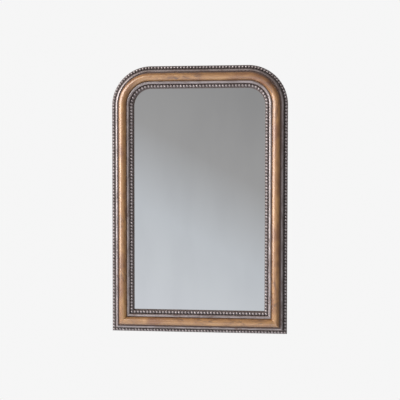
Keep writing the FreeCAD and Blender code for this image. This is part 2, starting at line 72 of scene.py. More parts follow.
# Distances that count as none: CLOSE in millimetres for drawn points, MERGED in metres for CAD points.
CLOSE = 1e-4
MERGED = 1e-6
BACKWARDS = Vector((0, 1, 0))
FORWARDS = Vector((0, -1, 0))
Z_TO_Y = Matrix.Rotation(math.radians(-90), 4, "X")

Colour = tuple[float, float, float]
Place = tuple[float, float, float]
Pair = tuple[float, float]
Material = bpy.types.Material
Socket = bpy.types.NodeSocket
Feed = float | Sequence[float] | Socket
Lie = Callable[[Vector], Vector]


class NodeSheet:
    """A node tree filled by short calls that return sockets."""

    def __init__(self, tree: bpy.types.NodeTree) -> None:
        """Takes a material's or the world's node tree to fill."""
        self.tree = tree

    def feed(self, socket: Socket, value: Feed) -> None:
        """Links a socket to another one, or sets its value.

        Args:
            socket: The input to fill.
            value: A socket, a number or a vector; a colour may leave out its alpha.
        """
        if isinstance(value, Socket):
            self.tree.links.new(value, socket)
        elif socket.type == "RGBA":
            socket.default_value = (*value[:3], 1.0)
        else:
            socket.default_value = value

    def node(self, kind: str, inputs: dict[str | int, Feed], **settings: object) -> bpy.types.Node:
        """Adds a node.

        Args:
            kind: The node's Blender type.
            inputs: What goes into its sockets, by name or number.
            settings: The node's own properties.

        Returns:
            The new node.
        """
        made = self.tree.nodes.new(kind)
        for key, value in settings.items():
            setattr(made, key, value)
        for key, value in inputs.items():
            self.feed(made.inputs[key], value)
        return made

    def parts(self, vector: Socket) -> tuple[Socket, Socket, Socket]:
        """The three components of a vector."""
        made = self.node("ShaderNodeSeparateXYZ", {0: vector})
        return made.outputs[0], made.outputs[1], made.outputs[2]

    def step(
        self, value: Socket, low: float, high: float, to_low: float = 0.0, to_high: float = 1.0
    ) -> Socket:
        """A soft step: to_low below low, to_high above high."""
        inputs = {"Value": value, "From Min": low, "From Max": high, "To Min": to_low, "To Max": to_high}
        return self.node("ShaderNodeMapRange", inputs, interpolation_type="SMOOTHSTEP").outputs[0]

    def band(self, value: Socket, low: float, high: float, soft: float) -> Socket:
        """1 between two lengths and 0 outside, with soft edges; all three are in millimetres."""
        entered = self.step(value, (low - soft) * MM, (low + soft) * MM)
        return self.times(entered, self.step(value, (high - soft) * MM, (high + soft) * MM, 1.0, 0.0))

    def maths(self, operation: str, first: Feed, second: Feed = 0.0) -> Socket:
        """One arithmetic step on one or two numbers."""
        return self.node("ShaderNodeMath", {0: first, 1: second}, operation=operation).outputs[0]

    def times(self, first: Feed, second: Feed) -> Socket:
        """The product of two numbers."""
        return self.maths("MULTIPLY", first, second)

    def plus(self, first: Feed, second: Feed) -> Socket:
        """The sum of two numbers."""
        return self.maths("ADD", first, second)

    def blend(self, share: Feed, low: Feed, high: Feed) -> Socket:
        """A colour between two: low where share is 0, high where it is 1."""
        made = self.node("ShaderNodeMix", {0: share, 6: low, 7: high}, data_type="RGBA")
        return made.outputs[2]

    def ramp(self, value: Socket, stops: Sequence[tuple[float, Colour]]) -> Socket:
        """A colour ramp over a value from 0 to 1.

        Args:
            value: Where the ramp is read.
            stops: Places and their colours, in order.

        Returns:
            The ramp's colour.
        """
        made = self.node("ShaderNodeValToRGB", {0: value})
        elements = made.color_ramp.elements
        while len(elements) < len(stops):
            elements.new(1.0)
        for element, (position, colour) in zip(elements, stops):
            element.position = position
            element.color = (*colour, 1.0)
        return made.outputs[0]


class Paintbox(NodeSheet):
    """The node tree of one material; a painted seam's half widths are in metres."""

    seam_dark = 0.00012
    seam_gone = 0.00045

    def __init__(self, name: str) -> None:
        """Starts a material with a Principled shader.

        Args:
            name: The material's name.
        """
        self.material = bpy.data.materials.new(name)
        self.material.use_nodes = True
        super().__init__(self.material.node_tree)
        self.shader = self.tree.nodes["Principled BSDF"]

    def place(self) -> Socket:
        """Object coordinates, in metres."""
        return self.node("ShaderNodeTexCoord", {}).outputs["Object"]

    def own(self, name: str) -> Socket:
        """A vector attribute of the piece's mesh."""
        return self.node("ShaderNodeAttribute", {}, attribute_name=name).outputs["Vector"]

    def seam(self, name: str) -> Socket:
        """1 on the thin line where two members meet, from an attribute with the distances to both ends."""
        start, end, _ = self.parts(self.own(name))
        return self.step(self.maths("MINIMUM", start, end), self.seam_dark, self.seam_gone, 1.0, 0.0)

    def level(self, name: str) -> Socket:
        """A number attribute of the piece's mesh."""
        return self.node("ShaderNodeAttribute", {}, attribute_name=name).outputs["Fac"]

    def stretch(self, vector: Socket, scale: Sequence[float]) -> Socket:
        """A vector scaled along each axis."""
        return self.node("ShaderNodeMapping", {"Vector": vector, "Scale": scale}).outputs[0]

    def noise(
        self, vector: Socket, scale: float, detail: float = 3.0, rough: float = 0.5, twist: float = 0.0
    ) -> Socket:
        """Cloudy noise from 0 to 1.

        Args:
            vector: Where it is read.
            scale: Clouds for each metre.
            detail: How many finer layers it has.
            rough: How strong the finer layers are.
            twist: How far the clouds are distorted.

        Returns:
            The noise's value.
        """
        inputs = {"Vector": vector, "Scale": scale, "Detail": detail, "Roughness": rough, "Distortion": twist}
        return self.node("ShaderNodeTexNoise", inputs).outputs[0]

    def tint(
        self, colour: Feed, other: Feed, noise: Socket, low: float, high: float, share: float = 1.0
    ) -> Socket:
        """A colour that turns into another, by up to a share, as a noise goes from low to high."""
        return self.blend(self.step(noise, low, high, 0.0, share), colour, other)

    def bump(self, height: Socket, depth: float, strength: float) -> Socket:
        """A normal roughened by a height from 0 to 1 over a depth in metres."""
        inputs = {"Height": height, "Distance": depth, "Strength": strength}
        return self.node("ShaderNodeBump", inputs).outputs[0]

    def finish(self, **sockets: Feed) -> Material:
        """Fills the shader's sockets; a name's underscores stand for spaces.

        Args:
            sockets: What goes into each socket.

        Returns:
            The finished material.
        """
        for name, value in sockets.items():
            self.feed(self.shader.inputs[name.replace("_", " ")], value)
        return self.material


@dataclass(frozen=True)
class Moulding:
    """Section of the moulding in millimetres: widths from the outer edge, heights from the back."""

    width: float = 76.0
    side_height: float = 10.0
    ledge: float = 12.4
    outer_fillet_foot: float = 18.0
    outer_fillet_end: float = 21.8
    outer_fillet_top: float = 30.0
    outer_quirk_floor: float = 27.5
    half_round_start: float = 26.5
    half_round_radius: float = 13.2
    half_round_level: float = 29.0
    inner_quirk_floor: float = 28.0
    inner_fillet_start: float = 56.0
    inner_fillet_top: float = 33.0
    inner_fillet_end: float = 63.6
    inner_fillet_foot: float = 27.0
    inner_ledge_height: float = 21.0
    glass_rebate: float = 64.0
    glass_level: float = 12.0
    panel_rebate: float = 50.0
    panel_level: float = 5.0
    arris: float = 0.5

    @property
    def half_round_middle(self) -> float:
        """Distance of the half round's crest from the outer edge."""
        return self.half_round_start + self.half_round_radius

    @property
    def half_round_end(self) -> float:
        """Distance of the half round's inner foot from the outer edge."""
        return self.half_round_middle + self.half_round_radius


MOULDING = Moulding()


def upright_arc(width: float, rise: float) -> Pair:
    """Radius, and turn in degrees, of an arc that is upright at one end, from its width and rise."""
    radius = (width**2 + rise**2) / (2 * width)
    return radius, math.degrees(math.atan2(rise, radius - width))


class Bevel(Enum):
    """What a bevel rounds off."""

    CORNERS = "VERTICES"
    EDGES = "EDGES"


def put(name: str, data: bpy.types.ID) -> bpy.types.Object:
    """Adds an object with its mesh, lamp or camera to the scene, and returns it."""
    bpy.context.scene.collection.objects.link(made := bpy.data.objects.new(name, data))
    return made


def points_of(geometry: Iterable[object]) -> list[BMVert]:
    """The vertices among an operator's new geometry."""
    return [item for item in geometry if isinstance(item, BMVert)]


def round_off(
    mesh: BMesh, geometry: Sequence[BMVert | BMEdge], radius: float, segments: int, kind: Bevel
) -> None:
    """Rounds corners of an outline or edges of a solid.

    Args:
        mesh: The bmesh that holds them.
        geometry: The corners or edges.
        radius: How far the round reaches.
        segments: How many facets it has.
        kind: Whether corners or edges are rounded.
    """
    bmesh.ops.bevel(
        mesh,
        geom=geometry,
        offset=radius,
        offset_type="OFFSET",
        affect=kind.value,
        segments=segments,
        profile=0.5,
        material=-1,
    )


def draw_out(mesh: BMesh, start: float, end: float) -> tuple[list[BMVert], list[BMVert]]:
    """Extrudes a drawn section along Z.

    Args:
        mesh: The bmesh with the section's face alone.
        start: Where the run starts.
        end: Where it ends.

    Returns:
        The vertices at the start and at the end.
    """
    near = mesh.verts[:]
    distant = points_of(bmesh.ops.extrude_face_region(mesh, geom=mesh.faces[:])["geom"])
    bmesh.ops.translate(mesh, verts=near, vec=(0, 0, start))
    bmesh.ops.translate(mesh, verts=distant, vec=(0, 0, end))
    return near, distant


class Pen:
    """Draws a closed outline in a bmesh; an arc is its last point spun round a centre."""

    def __init__(self, mesh: BMesh) -> None:
        """Starts with no points, in the XY plane of a bmesh."""
        self.mesh = mesh
        self.points: list[BMVert] = []

    def line(self, x: float, y: float) -> BMVert:
        """A straight stroke to a point.

        Args:
            x: The point's first coordinate.
            y: Its second coordinate.

        Returns:
            The point's vertex.
        """
        point = self.mesh.verts.new((x, y, 0))
        if self.points:
            self.mesh.edges.new((self.points[-1], point))
        self.points.append(point)
        return point

    def arc(self, x: float, y: float, degrees: float, steps: int) -> BMVert:
        """An arc from the last point.

        Args:
            x: The centre's first coordinate.
            y: Its second coordinate.
            degrees: How far the arc turns, anticlockwise if positive.
            steps: How many strokes it has.

        Returns:
            The vertex at its end.
        """
        made = bmesh.ops.spin(
            self.mesh,
            geom=[self.points[-1]],
            cent=(x, y, 0),
            axis=(0, 0, 1),
            angle=math.radians(degrees),
            steps=steps,
        )
        end = points_of(made["geom_last"])[0]
        self.points.append(end)
        return end

    def close(self) -> None:
        """Joins the last point to the first and fills the outline."""
        self.mesh.edges.new((self.points[-1], self.points[0]))
        bmesh.ops.edgeloop_fill(self.mesh, edges=self.mesh.edges[:])


@dataclass(frozen=True)
class GiltFinish:
    """Front of the moulding: gold on the half round and silver on the fillets, over a red-brown ground.

    Both are rubbed, and dark wax lies in the hollows; over the outer riser and ledge it is laid on in full as
    painted shade. Lengths are in millimetres. The leaf stops a trim short of the edges of its half round or
    fillet.
    """

    gold: Colour = (0.46, 0.215, 0.076)
    pale_gold: Colour = (0.61, 0.308, 0.112)
    deep_gold: Colour = (0.24, 0.080, 0.034)
    silver: Colour = (0.48, 0.395, 0.38)
    dull_silver: Colour = (0.32, 0.255, 0.24)
    ground: Colour = (0.145, 0.062, 0.038)
    # Lighter colour of the inner quirk: painted light.
    painted_light_quirk: Colour = (0.36, 0.225, 0.150)
    # Dark wax, which also serves as painted shade on the outer riser and ledge.
    wax_and_shade: Colour = (0.060, 0.031, 0.022)
    gold_trim: float = 0.1
    outer_trims: Pair = (0.2, 0.3)
    inner_trims: Pair = (0.1, 0.2)
    soft_edge: float = 0.5
    outer_soft_edge: float = 0.6
    wander: float = 1.6
    silver_heights: Pair = (24.5, 28.0)
    # Insets over which the full wax of the outer riser and ledge gives way: painted shade over real wax.
    wax_and_shade_insets: Pair = (14.0, 21.0)
    gold_metal: float = 0.15
    silver_metal: float = 0.25
    gold_sheen: float = 0.9
    inner_sheen: float = 0.8
    outer_sheen: float = 0.3
    bare_sheen: float = 0.1

    def material(self) -> Material:
        """The moulding's front, read along and across the moulding.

        Returns:
            The material.
        """
        m = MOULDING
        box = Paintbox("gilt_moulding")
        lie = box.own("lie")
        _, inset, rise = box.parts(lie)
        along = box.stretch(lie, (0.3, 1.0, 1.0))
        cloud = box.noise(along, 75.0, detail=5.0, rough=0.6, twist=0.4)
        drift = box.noise(lie, 14.0, detail=2.0)
        grain = box.noise(along, 620.0, rough=0.6)
        streaks = box.noise(along, 210.0, detail=4.0, rough=0.65)
        flakes = box.noise(along, 60.0, detail=7.0, rough=0.75, twist=1.0)
        patches = box.noise(lie, 8.5, detail=2.0)
        wobble = box.plus(box.noise(lie, 130.0), -0.5)
        across = box.plus(inset, box.times(wobble, self.wander * MM))

        soft, trim = self.soft_edge, self.gold_trim
        gold = box.band(across, m.half_round_start + trim, m.half_round_end - trim, soft)
        start, end = self.outer_trims
        outer = box.band(across, m.ledge + start, m.outer_fillet_end - end, self.outer_soft_edge)
        start, end = self.inner_trims
        inner = box.band(across, m.inner_fillet_start + start, m.inner_fillet_end - end, soft)
        raised = box.step(rise, *(height * MM for height in self.silver_heights))
        silver = box.times(box.plus(outer, inner), raised)
        rubbed = box.times(box.step(cloud, 0.53, 0.68), box.step(streaks, 0.42, 0.62))

        gilt = box.tint(self.pale_gold, self.gold, cloud, 0.36, 0.60)
        gilt = box.tint(gilt, self.deep_gold, drift, 0.42, 0.72, 0.65)
        gilt = box.blend(box.times(rubbed, 0.75), gilt, self.deep_gold)
        silvered = box.tint(self.silver, self.dull_silver, cloud, 0.40, 0.62)
        silvered = box.blend(box.times(rubbed, 0.5), silvered, self.ground)
        # Up to these insets the ground is wholly dark wax, painted shade along the outer riser; further in,
        # wax shows only in the grain.
        clear_of_riser_shade = box.step(across, *(width * MM for width in self.wax_and_shade_insets))
        under = box.blend(box.times(box.step(grain, 0.35, 0.65), clear_of_riser_shade), self.wax_and_shade, self.ground)
        # The inner quirk between half round and inner fillet gets a lighter colour, varied by the clouds:
        # painted light.
        painted_light_quirk = box.band(across, m.half_round_end, m.inner_fillet_start, soft)
        under = box.blend(box.times(painted_light_quirk, box.step(cloud, 0.35, 0.65, 0.9, 0.4)), under, self.painted_light_quirk)

        colour = box.blend(silver, under, silvered)
        colour = box.blend(gold, colour, gilt)
        colour = box.tint(colour, self.ground, grain, 0.56, 0.74, 0.45)
        chips = box.times(box.step(flakes, 0.52, 0.60), box.step(patches, 0.48, 0.60))
        colour = box.blend(box.times(chips, 0.75), colour, self.ground)
        colour = box.blend(box.times(box.seam("mitres"), 0.85), colour, self.wax_and_shade)

        leaf = box.plus(box.times(gold, self.gold_metal), box.times(silver, self.silver_metal))
        bare = box.step(box.plus(gold, silver), 0.0, 1.0, 0.22, 0.0)
        outer_sheen = box.step(outer, 0.0, 1.0, self.bare_sheen, self.outer_sheen)
        raised_sheen = box.plus(box.times(gold, self.gold_sheen), box.times(inner, self.inner_sheen))
        height = box.plus(box.times(cloud, 0.7), box.times(grain, 0.3))
        return box.finish(
            Base_Color=colour,
            Metallic=box.times(leaf, box.step(rubbed, 0.0, 1.0, 1.0, 0.4)),
            Roughness=box.plus(box.step(cloud, 0.3, 0.7, 0.30, 0.41), bare),
            Specular_IOR_Level=1.0,
            Coat_Weight=box.plus(raised_sheen, outer_sheen),
            Coat_Roughness=0.22,
            Coat_IOR=1.72,
            Normal=box.bump(height, depth=0.0005, strength=0.55),
        )


@dataclass(frozen=True)
class BeadFinish:
    """Cast beads, silvered and rubbed back to bright crowns over dark wax in the hollows, which is partly
    painted shade.
    """

    bright: Colour = (0.52, 0.445, 0.435)
    dull: Colour = (0.36, 0.30, 0.29)
    brown: Colour = (0.16, 0.10, 0.075)
    # Dark wax of the hollows, partly patina and partly painted shade.
    wax_and_shade: Colour = (0.15, 0.118, 0.108)

    def material(self) -> Material:
        """The bead strips' finish, read by each point's height on its bead.

        Returns:
            The material.
        """
        box = Paintbox("silvered_beads")
        place = box.place()
        tone = box.noise(place, 55.0, rough=0.6)
        grain = box.noise(place, 520.0, rough=0.6)
        relief = box.plus(box.level("relief"), box.times(box.plus(grain, -0.5), 0.16))
        # Low on each bead and between the beads the colour turns to dark wax: patina and painted shade.
        out_of_hollow_shade = box.step(relief, 0.30, 0.66)
        metal = box.tint(self.bright, self.dull, tone, 0.35, 0.68)
        metal = box.tint(metal, self.brown, grain, 0.60, 0.74, 0.5)
        rough = box.plus(box.step(grain, 0.3, 0.7, 0.20, 0.32), box.step(out_of_hollow_shade, 0.0, 1.0, 0.30, 0.0))
        return box.finish(
            Base_Color=box.blend(out_of_hollow_shade, self.wax_and_shade, metal),
            Metallic=box.step(out_of_hollow_shade, 0.0, 1.0, 0.2, 0.5),
            Roughness=rough,
            Normal=box.bump(grain, depth=0.0003, strength=0.5),
        )


@dataclass(frozen=True)
class BareWoodFinish:
    """Bare wood, its grain along each member; without coordinates it follows the object's own axes."""

    name: str = "bare_pine"
    pale: Colour = (0.52, 0.34, 0.18)
    dark: Colour = (0.30, 0.165, 0.075)
    aged: Colour = (0.19, 0.115, 0.065)
    glue: Colour = (0.055, 0.032, 0.018)
    coordinates: str = "lie"

    def material(self) -> Material:
        """Wood with grain lines, pores and a little dirt.

        Returns:
            The material.
        """
        box = Paintbox(self.name)
        lie = box.own(self.coordinates) if self.coordinates else box.place()
        grain = box.noise(box.stretch(lie, (0.05, 1.0, 1.0)), 190.0, detail=5.0, rough=0.6, twist=0.7)
        pores = box.noise(box.stretch(lie, (0.03, 1.0, 1.0)), 1500.0, detail=2.0)
        dirt = box.noise(lie, 16.0, detail=4.0, rough=0.6)
        colour = box.tint(self.pale, self.dark, grain, 0.38, 0.66)
        colour = box.tint(colour, self.dark, pores, 0.58, 0.75, 0.5)
        colour = box.tint(colour, self.aged, dirt, 0.45, 0.75, 0.55)
        if self.coordinates:
            colour = box.blend(box.times(box.seam("joints"), 0.8), colour, self.glue)
        height = box.plus(box.times(grain, 0.6), box.times(pores, 0.4))
        return box.finish(
            Base_Color=colour,
            Roughness=box.step(dirt, 0.3, 0.7, 0.62, 0.78),
            Normal=box.bump(height, depth=0.0004, strength=0.6),
        )


@dataclass(frozen=True)
class EdgePaintFinish:
    """Dark brown paint on the frame's outer side, rubbed along its edges; heights are in metres."""

    paint: Colour = (0.050, 0.031, 0.023)
    worn: Colour = (0.150, 0.080, 0.045)
    back_edge: float = 0.0018
    front_edge: Pair = (0.0085, 0.0100)

    def material(self) -> Material:
        """Brushed paint with rubbed places.

        Returns:
            The material.
        """
        box = Paintbox("side_paint")
        lie = box.own("lie")
        _, _, rise = box.parts(lie)
        brush = box.noise(box.stretch(lie, (0.06, 1.0, 1.0)), 900.0)
        patch = box.noise(box.stretch(lie, (0.4, 1.0, 1.0)), 90.0, detail=4.0, rough=0.6)
        edge = box.plus(box.step(rise, 0.0, self.back_edge, 1.0, 0.0), box.step(rise, *self.front_edge))
        worn = box.times(box.step(patch, 0.46, 0.66), box.plus(0.25, box.times(edge, 0.75)))
        return box.finish(
            Base_Color=box.blend(worn, self.paint, self.worn),
            Roughness=box.step(brush, 0.3, 0.7, 0.42, 0.58),
            Normal=box.bump(brush, depth=0.0002, strength=0.5),
        )


@dataclass(frozen=True)
class MirrorFinish:
    """Silvered glass, clean, with a faint haze."""

    silver: Colour = (0.905, 0.903, 0.908)
    hazy: Colour = (0.865, 0.863, 0.870)

    def material(self) -> Material:
        """A bright mirror with hardly seen streaks of wiping.

        Returns:
            The material.
        """
        box = Paintbox("mirror_glass")
        haze = box.noise(box.stretch(box.place(), (1.0, 1.0, 0.35)), 9.0)
        return box.finish(
            Base_Color=box.tint(self.silver, self.hazy, haze, 0.35, 0.75),
            Metallic=1.0,
            Roughness=box.step(haze, 0.3, 0.8, 0.012, 0.03),
        )


@dataclass(frozen=True)
class BoardFinish:
    """Pressed board or card: a brown or grey sheet of short fibres; a mesh pitch is in metres."""

    name: str
    body: Colour
    fibre: Colour
    stain: Colour
    mesh_pitch: float = 0.0

    def material(self) -> Material:
        """Fibres, stains and, on hardboard, the print of the press's wire mesh.

        Returns:
            The material.
        """
        box = Paintbox(self.name)
        place = box.place()
        fibres = box.noise(place, 420.0, detail=5.0, rough=0.65, twist=0.8)
        stain = box.noise(place, 7.0, detail=4.0, rough=0.6, twist=0.5)
        colour = box.tint(self.body, self.fibre, fibres, 0.42, 0.68)
        colour = box.tint(colour, self.stain, stain, 0.46, 0.72, 0.6)
        height = fibres
        if self.mesh_pitch:
            x, _, z = box.parts(place)
            turns = 2 * math.pi / self.mesh_pitch
            waves = [box.maths("SINE", box.times(axis, turns)) for axis in (x, z)]
            weave = box.times(*waves)
            height = box.plus(box.times(weave, 0.35), box.times(fibres, 0.5))
            colour = box.tint(colour, self.stain, weave, 0.2, 0.9, 0.25)
        return box.finish(
            Base_Color=colour,
            Roughness=box.step(fibres, 0.3, 0.7, 0.66, 0.82),
            Normal=box.bump(height, depth=0.0003, strength=0.6),
        )


@dataclass(frozen=True)
class PlatedFinish:
    """Plated steel with a fine grain, a clouded sheen and dull spots."""

    name: str
    bright: Colour
    clouded: Colour
    spot: Colour = (0.10, 0.085, 0.07)
    roughness: float = 0.28
    clouded_rise: float = 0.12
    spot_share: float = 0.7

    def material(self) -> Material:
        """Metal with clouds in its plating.

        Returns:
            The material.
        """
        box = Paintbox(self.name)
        place = box.place()
        cloud = box.noise(place, 160.0, detail=4.0, rough=0.6, twist=0.6)
        grain = box.noise(place, 1800.0, detail=2.0)
        spots = box.step(box.noise(place, 620.0, rough=0.6), 0.64, 0.74, 0.0, self.spot_share)
        colour = box.tint(self.bright, self.clouded, cloud, 0.38, 0.64)
        rough = box.step(cloud, 0.3, 0.7, self.roughness, self.roughness + self.clouded_rise)
        return box.finish(
            Base_Color=box.blend(spots, colour, self.spot),
            Metallic=box.step(spots, 0.0, self.spot_share, 1.0, 0.55),
            Roughness=box.plus(rough, box.times(spots, 0.25)),
            Normal=box.bump(grain, depth=0.00008, strength=0.5),
        )


@dataclass(frozen=True)
class RubberFinish:
    """Grey rubber with a fine moulded grain and a bloom of dust."""

    name: str = "bumper_rubber"
    rubber: Colour = (0.040, 0.040, 0.042)
    dust: Colour = (0.115, 0.110, 0.105)

    def material(self) -> Material:
        """Rubber with dust in its grain.

        Returns:
            The material.
        """
        box = Paintbox(self.name)
        place = box.place()
        grain = box.noise(place, 2400.0, detail=2.0)
        bloom = box.noise(place, 220.0, detail=4.0, rough=0.6)
        return box.finish(
            Base_Color=box.tint(self.rubber, self.dust, bloom, 0.4, 0.75, 0.8),
            Roughness=box.step(bloom, 0.3, 0.7, 0.6, 0.8),
            Normal=box.bump(grain, depth=0.0001, strength=0.6),
        )


@dataclass(frozen=True)
class FloorFinish:
    """Pale painted floor, faintly clouded, that fades into the backdrop."""

    pale: Colour = (0.80, 0.80, 0.80)
    shade: Colour = (0.76, 0.76, 0.765)
    solid_to: float = 0.25
    gone_at: float = 0.88

    def material(self) -> Material:
        """The floor's paint.

        Returns:
            The material.
        """
        box = Paintbox("pale_floor")
        place = box.place()
        cloud = box.noise(place, 2.5, detail=4.0)
        x, y, _ = box.parts(place)
        reach = box.maths("SQRT", box.plus(box.times(x, x), box.times(y, y)))
        return box.finish(
            Base_Color=box.tint(self.pale, self.shade, cloud, 0.35, 0.7),
            Roughness=0.75,
            Alpha=box.step(reach, self.solid_to, self.gone_at, 1.0, 0.0),
        )


class Side(Enum):
    """The two sides of the mirror; the value is the sign of x."""

    LEFT = -1
    RIGHT = 1

    @property
    def word(self) -> str:
        """The side's name in node names."""
        return self.name.lower()


class Surface(IntEnum):
    """The surfaces of a frame member; the value is its material's number."""

    GILT = 0
    WOOD = 1
    SIDE = 2


@dataclass
class Assembly:
    """What the sub-assemblies share: a bmesh becomes a named piece, a CAD node gets its finish."""

    def piece(
        self,
        mesh: BMesh,
        name: str,
        slot: str,
        materials: Sequence[Material],
        nodes: Sequence[str],
        body: str = "frame",
        sharp: float = 38.0,
    ) -> None:
        """Turns a bmesh into a smooth piece that stands for CAD nodes.

        Args:
            mesh: The finished bmesh, in place; it is freed.
            name: The piece's name.
            slot: Not used.
            materials: Its materials, in the order of its faces' numbers.
            nodes: The CAD nodes it stands for.
            body: The CAD body it moves with.
            sharp: Edges that turn by more degrees than this stay sharp.
        """
        data = bpy.data.meshes.new(name)
        mesh.to_mesh(data)
        mesh.free()
        data.shade_smooth()
        data.set_sharp_from_angle(angle=math.radians(sharp))
        for material in materials:
            data.materials.append(material)
        made = put(name, data)
        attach(made, body)
        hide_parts(*nodes)
        LOG.info("%s: %d faces on %s", name, len(data.polygons), body)

    def dress(self, node: str, material: Material) -> None:
        """Gives a CAD node its finish.

        Args:
            node: The node's name.
            material: Its material.
        """
        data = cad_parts[node].data
        data.materials.clear()
        data.materials.append(material)
        LOG.info("%s: CAD node in %s", node, material.name)

    def merged(self, node: str) -> BMesh:
        """A copy of a CAD node's mesh with its loose triangles joined.

        Args:
            node: The node's name.

        Returns:
            The copy's bmesh.
        """
        mesh = bmesh.new()
        mesh.from_mesh(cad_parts[node].data)
        bmesh.ops.remove_doubles(mesh, verts=mesh.verts, dist=MERGED)
        return mesh


@dataclass(frozen=True)
class Layout:
    """Where the frame's members lie, in metres, read from the CAD nodes.

    A point's lie in the moulding is its run along the frame, its inset from the outer edge and its rise
    from the back. The bottom rail's run starts well past the others, so its pattern is its own.
    """

    half_width: float
    top: float
    bottom: float
    back: float
    corner_reach: float
    corner_level: float
    bottom_run: float = 3.0

    @classmethod
    def from_frame(cls) -> "Layout":
        """Reads the members' boxes.

        Returns:
            The layout.
        """
        low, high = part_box("right_stile")
        _, rail_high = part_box("top_rail")
        return cls(high.x, rail_high.z, low.z, high.y, rail_high.x, high.z)

    @property
    def corner_radius(self) -> float:
        """Radius of the outer edge at the upper corners."""
        return self.half_width - self.corner_reach

    @property
    def stile_length(self) -> float:
        """Length of a stile along its outer edge."""
        return self.corner_level - self.bottom

    @property
    def crest_radius(self) -> float:
        """Radius of the half round's crest at an upper corner."""
        return self.corner_radius - MOULDING.half_round_middle * MM

    @property
    def top_run(self) -> float:
        """Length of the half round's crest from stile to stile."""
        return 2 * self.corner_reach + math.pi * self.crest_radius

    def strip_matrix(self, origin: Vector, across: Vector, along: Vector) -> Matrix:
        """Places a section drawn in millimetres: X goes across, Y towards the viewer, Z along.

        Args:
            origin: Where the outer edge at the back comes to lie.
            across: The way from the outer edge inwards.
            along: The way along the member.

        Returns:
            The matrix, with the change to metres.
        """
        axes = Matrix((across, FORWARDS, along)).transposed().to_4x4()
        return Matrix.Translation(origin) @ axes @ Matrix.Scale(MM, 4)

    def stile_matrix(self, side: Side) -> Matrix:
        """Places a stile that runs down from its joint with the corner."""
        origin = Vector((side.value * self.half_width, self.back, self.corner_level))
        return self.strip_matrix(origin, Vector((-side.value, 0, 0)), Vector((0, 0, -1)))

    def bottom_matrix(self) -> Matrix:
        """Places the bottom rail, which runs to the right from the middle."""
        return self.strip_matrix(Vector((0, self.back, self.bottom)), Vector((0, 0, 1)), Vector((1, 0, 0)))

    def top_matrix(self) -> Matrix:
        """Places the top rail, which runs to the right from the middle."""
        return self.strip_matrix(Vector((0, self.back, self.top)), Vector((0, 0, -1)), Vector((1, 0, 0)))

    def corner_centre(self, side: Side) -> Vector:
        """Centre of an upper corner's arcs."""
        return Vector((side.value * self.corner_reach, self.back, self.corner_level))

    def quarter(self, side: Side) -> float:
        """The turn from a stile to the top rail, about the way backwards."""
        return math.radians(-90 * side.value)

    def sweep_corner(self, mesh: BMesh, side: Side, steps: int) -> None:
        """Carries a section round an upper corner.

        Args:
            mesh: The bmesh with the section's face alone, in millimetres.
            side: Which corner it is.
            steps: How many steps the sweep has.
        """
        bmesh.ops.transform(mesh, matrix=self.stile_matrix(side), verts=mesh.verts)
        bmesh.ops.spin(
            mesh,
            geom=[*mesh.verts, *mesh.edges, *mesh.faces],
            cent=self.corner_centre(side),
            axis=BACKWARDS,
            angle=self.quarter(side),
            steps=steps,
        )

    def far_run(self, side: Side) -> float:
        """What a side's run is counted from: the left one's start, or the right one's end."""
        return 0.0 if side is Side.LEFT else 2 * self.stile_length + self.top_run

    def stile_lie(self, side: Side, point: Vector) -> Vector:
        """Run, inset and rise of a point of a stile."""
        run = abs(self.far_run(side) - (point.z - self.bottom))
        return Vector((run, self.half_width - abs(point.x), self.back - point.y))

    def corner_lie(self, side: Side, point: Vector) -> Vector:
        """Run, inset and rise of a point of an upper corner.

        Args:
            side: The corner's side.
            point: The point.

        Returns:
            How it lies in the moulding.
        """
        out = side.value * point.x - self.corner_reach
        up = point.z - self.corner_level
        run = self.stile_length + math.atan2(up, out) * self.crest_radius
        inset = self.corner_radius - math.hypot(out, up)
        return Vector((abs(self.far_run(side) - run), inset, self.back - point.y))

    def top_lie(self, point: Vector) -> Vector:
        """Run, inset and rise of a point of the top rail."""
        start = self.stile_length + self.top_run / 2
        return Vector((start + point.x, self.top - point.z, self.back - point.y))

    def bottom_lie(self, point: Vector) -> Vector:
        """Run, inset and rise of a point of the bottom rail."""
        return Vector((self.bottom_run + point.x, point.z - self.bottom, self.back - point.y))


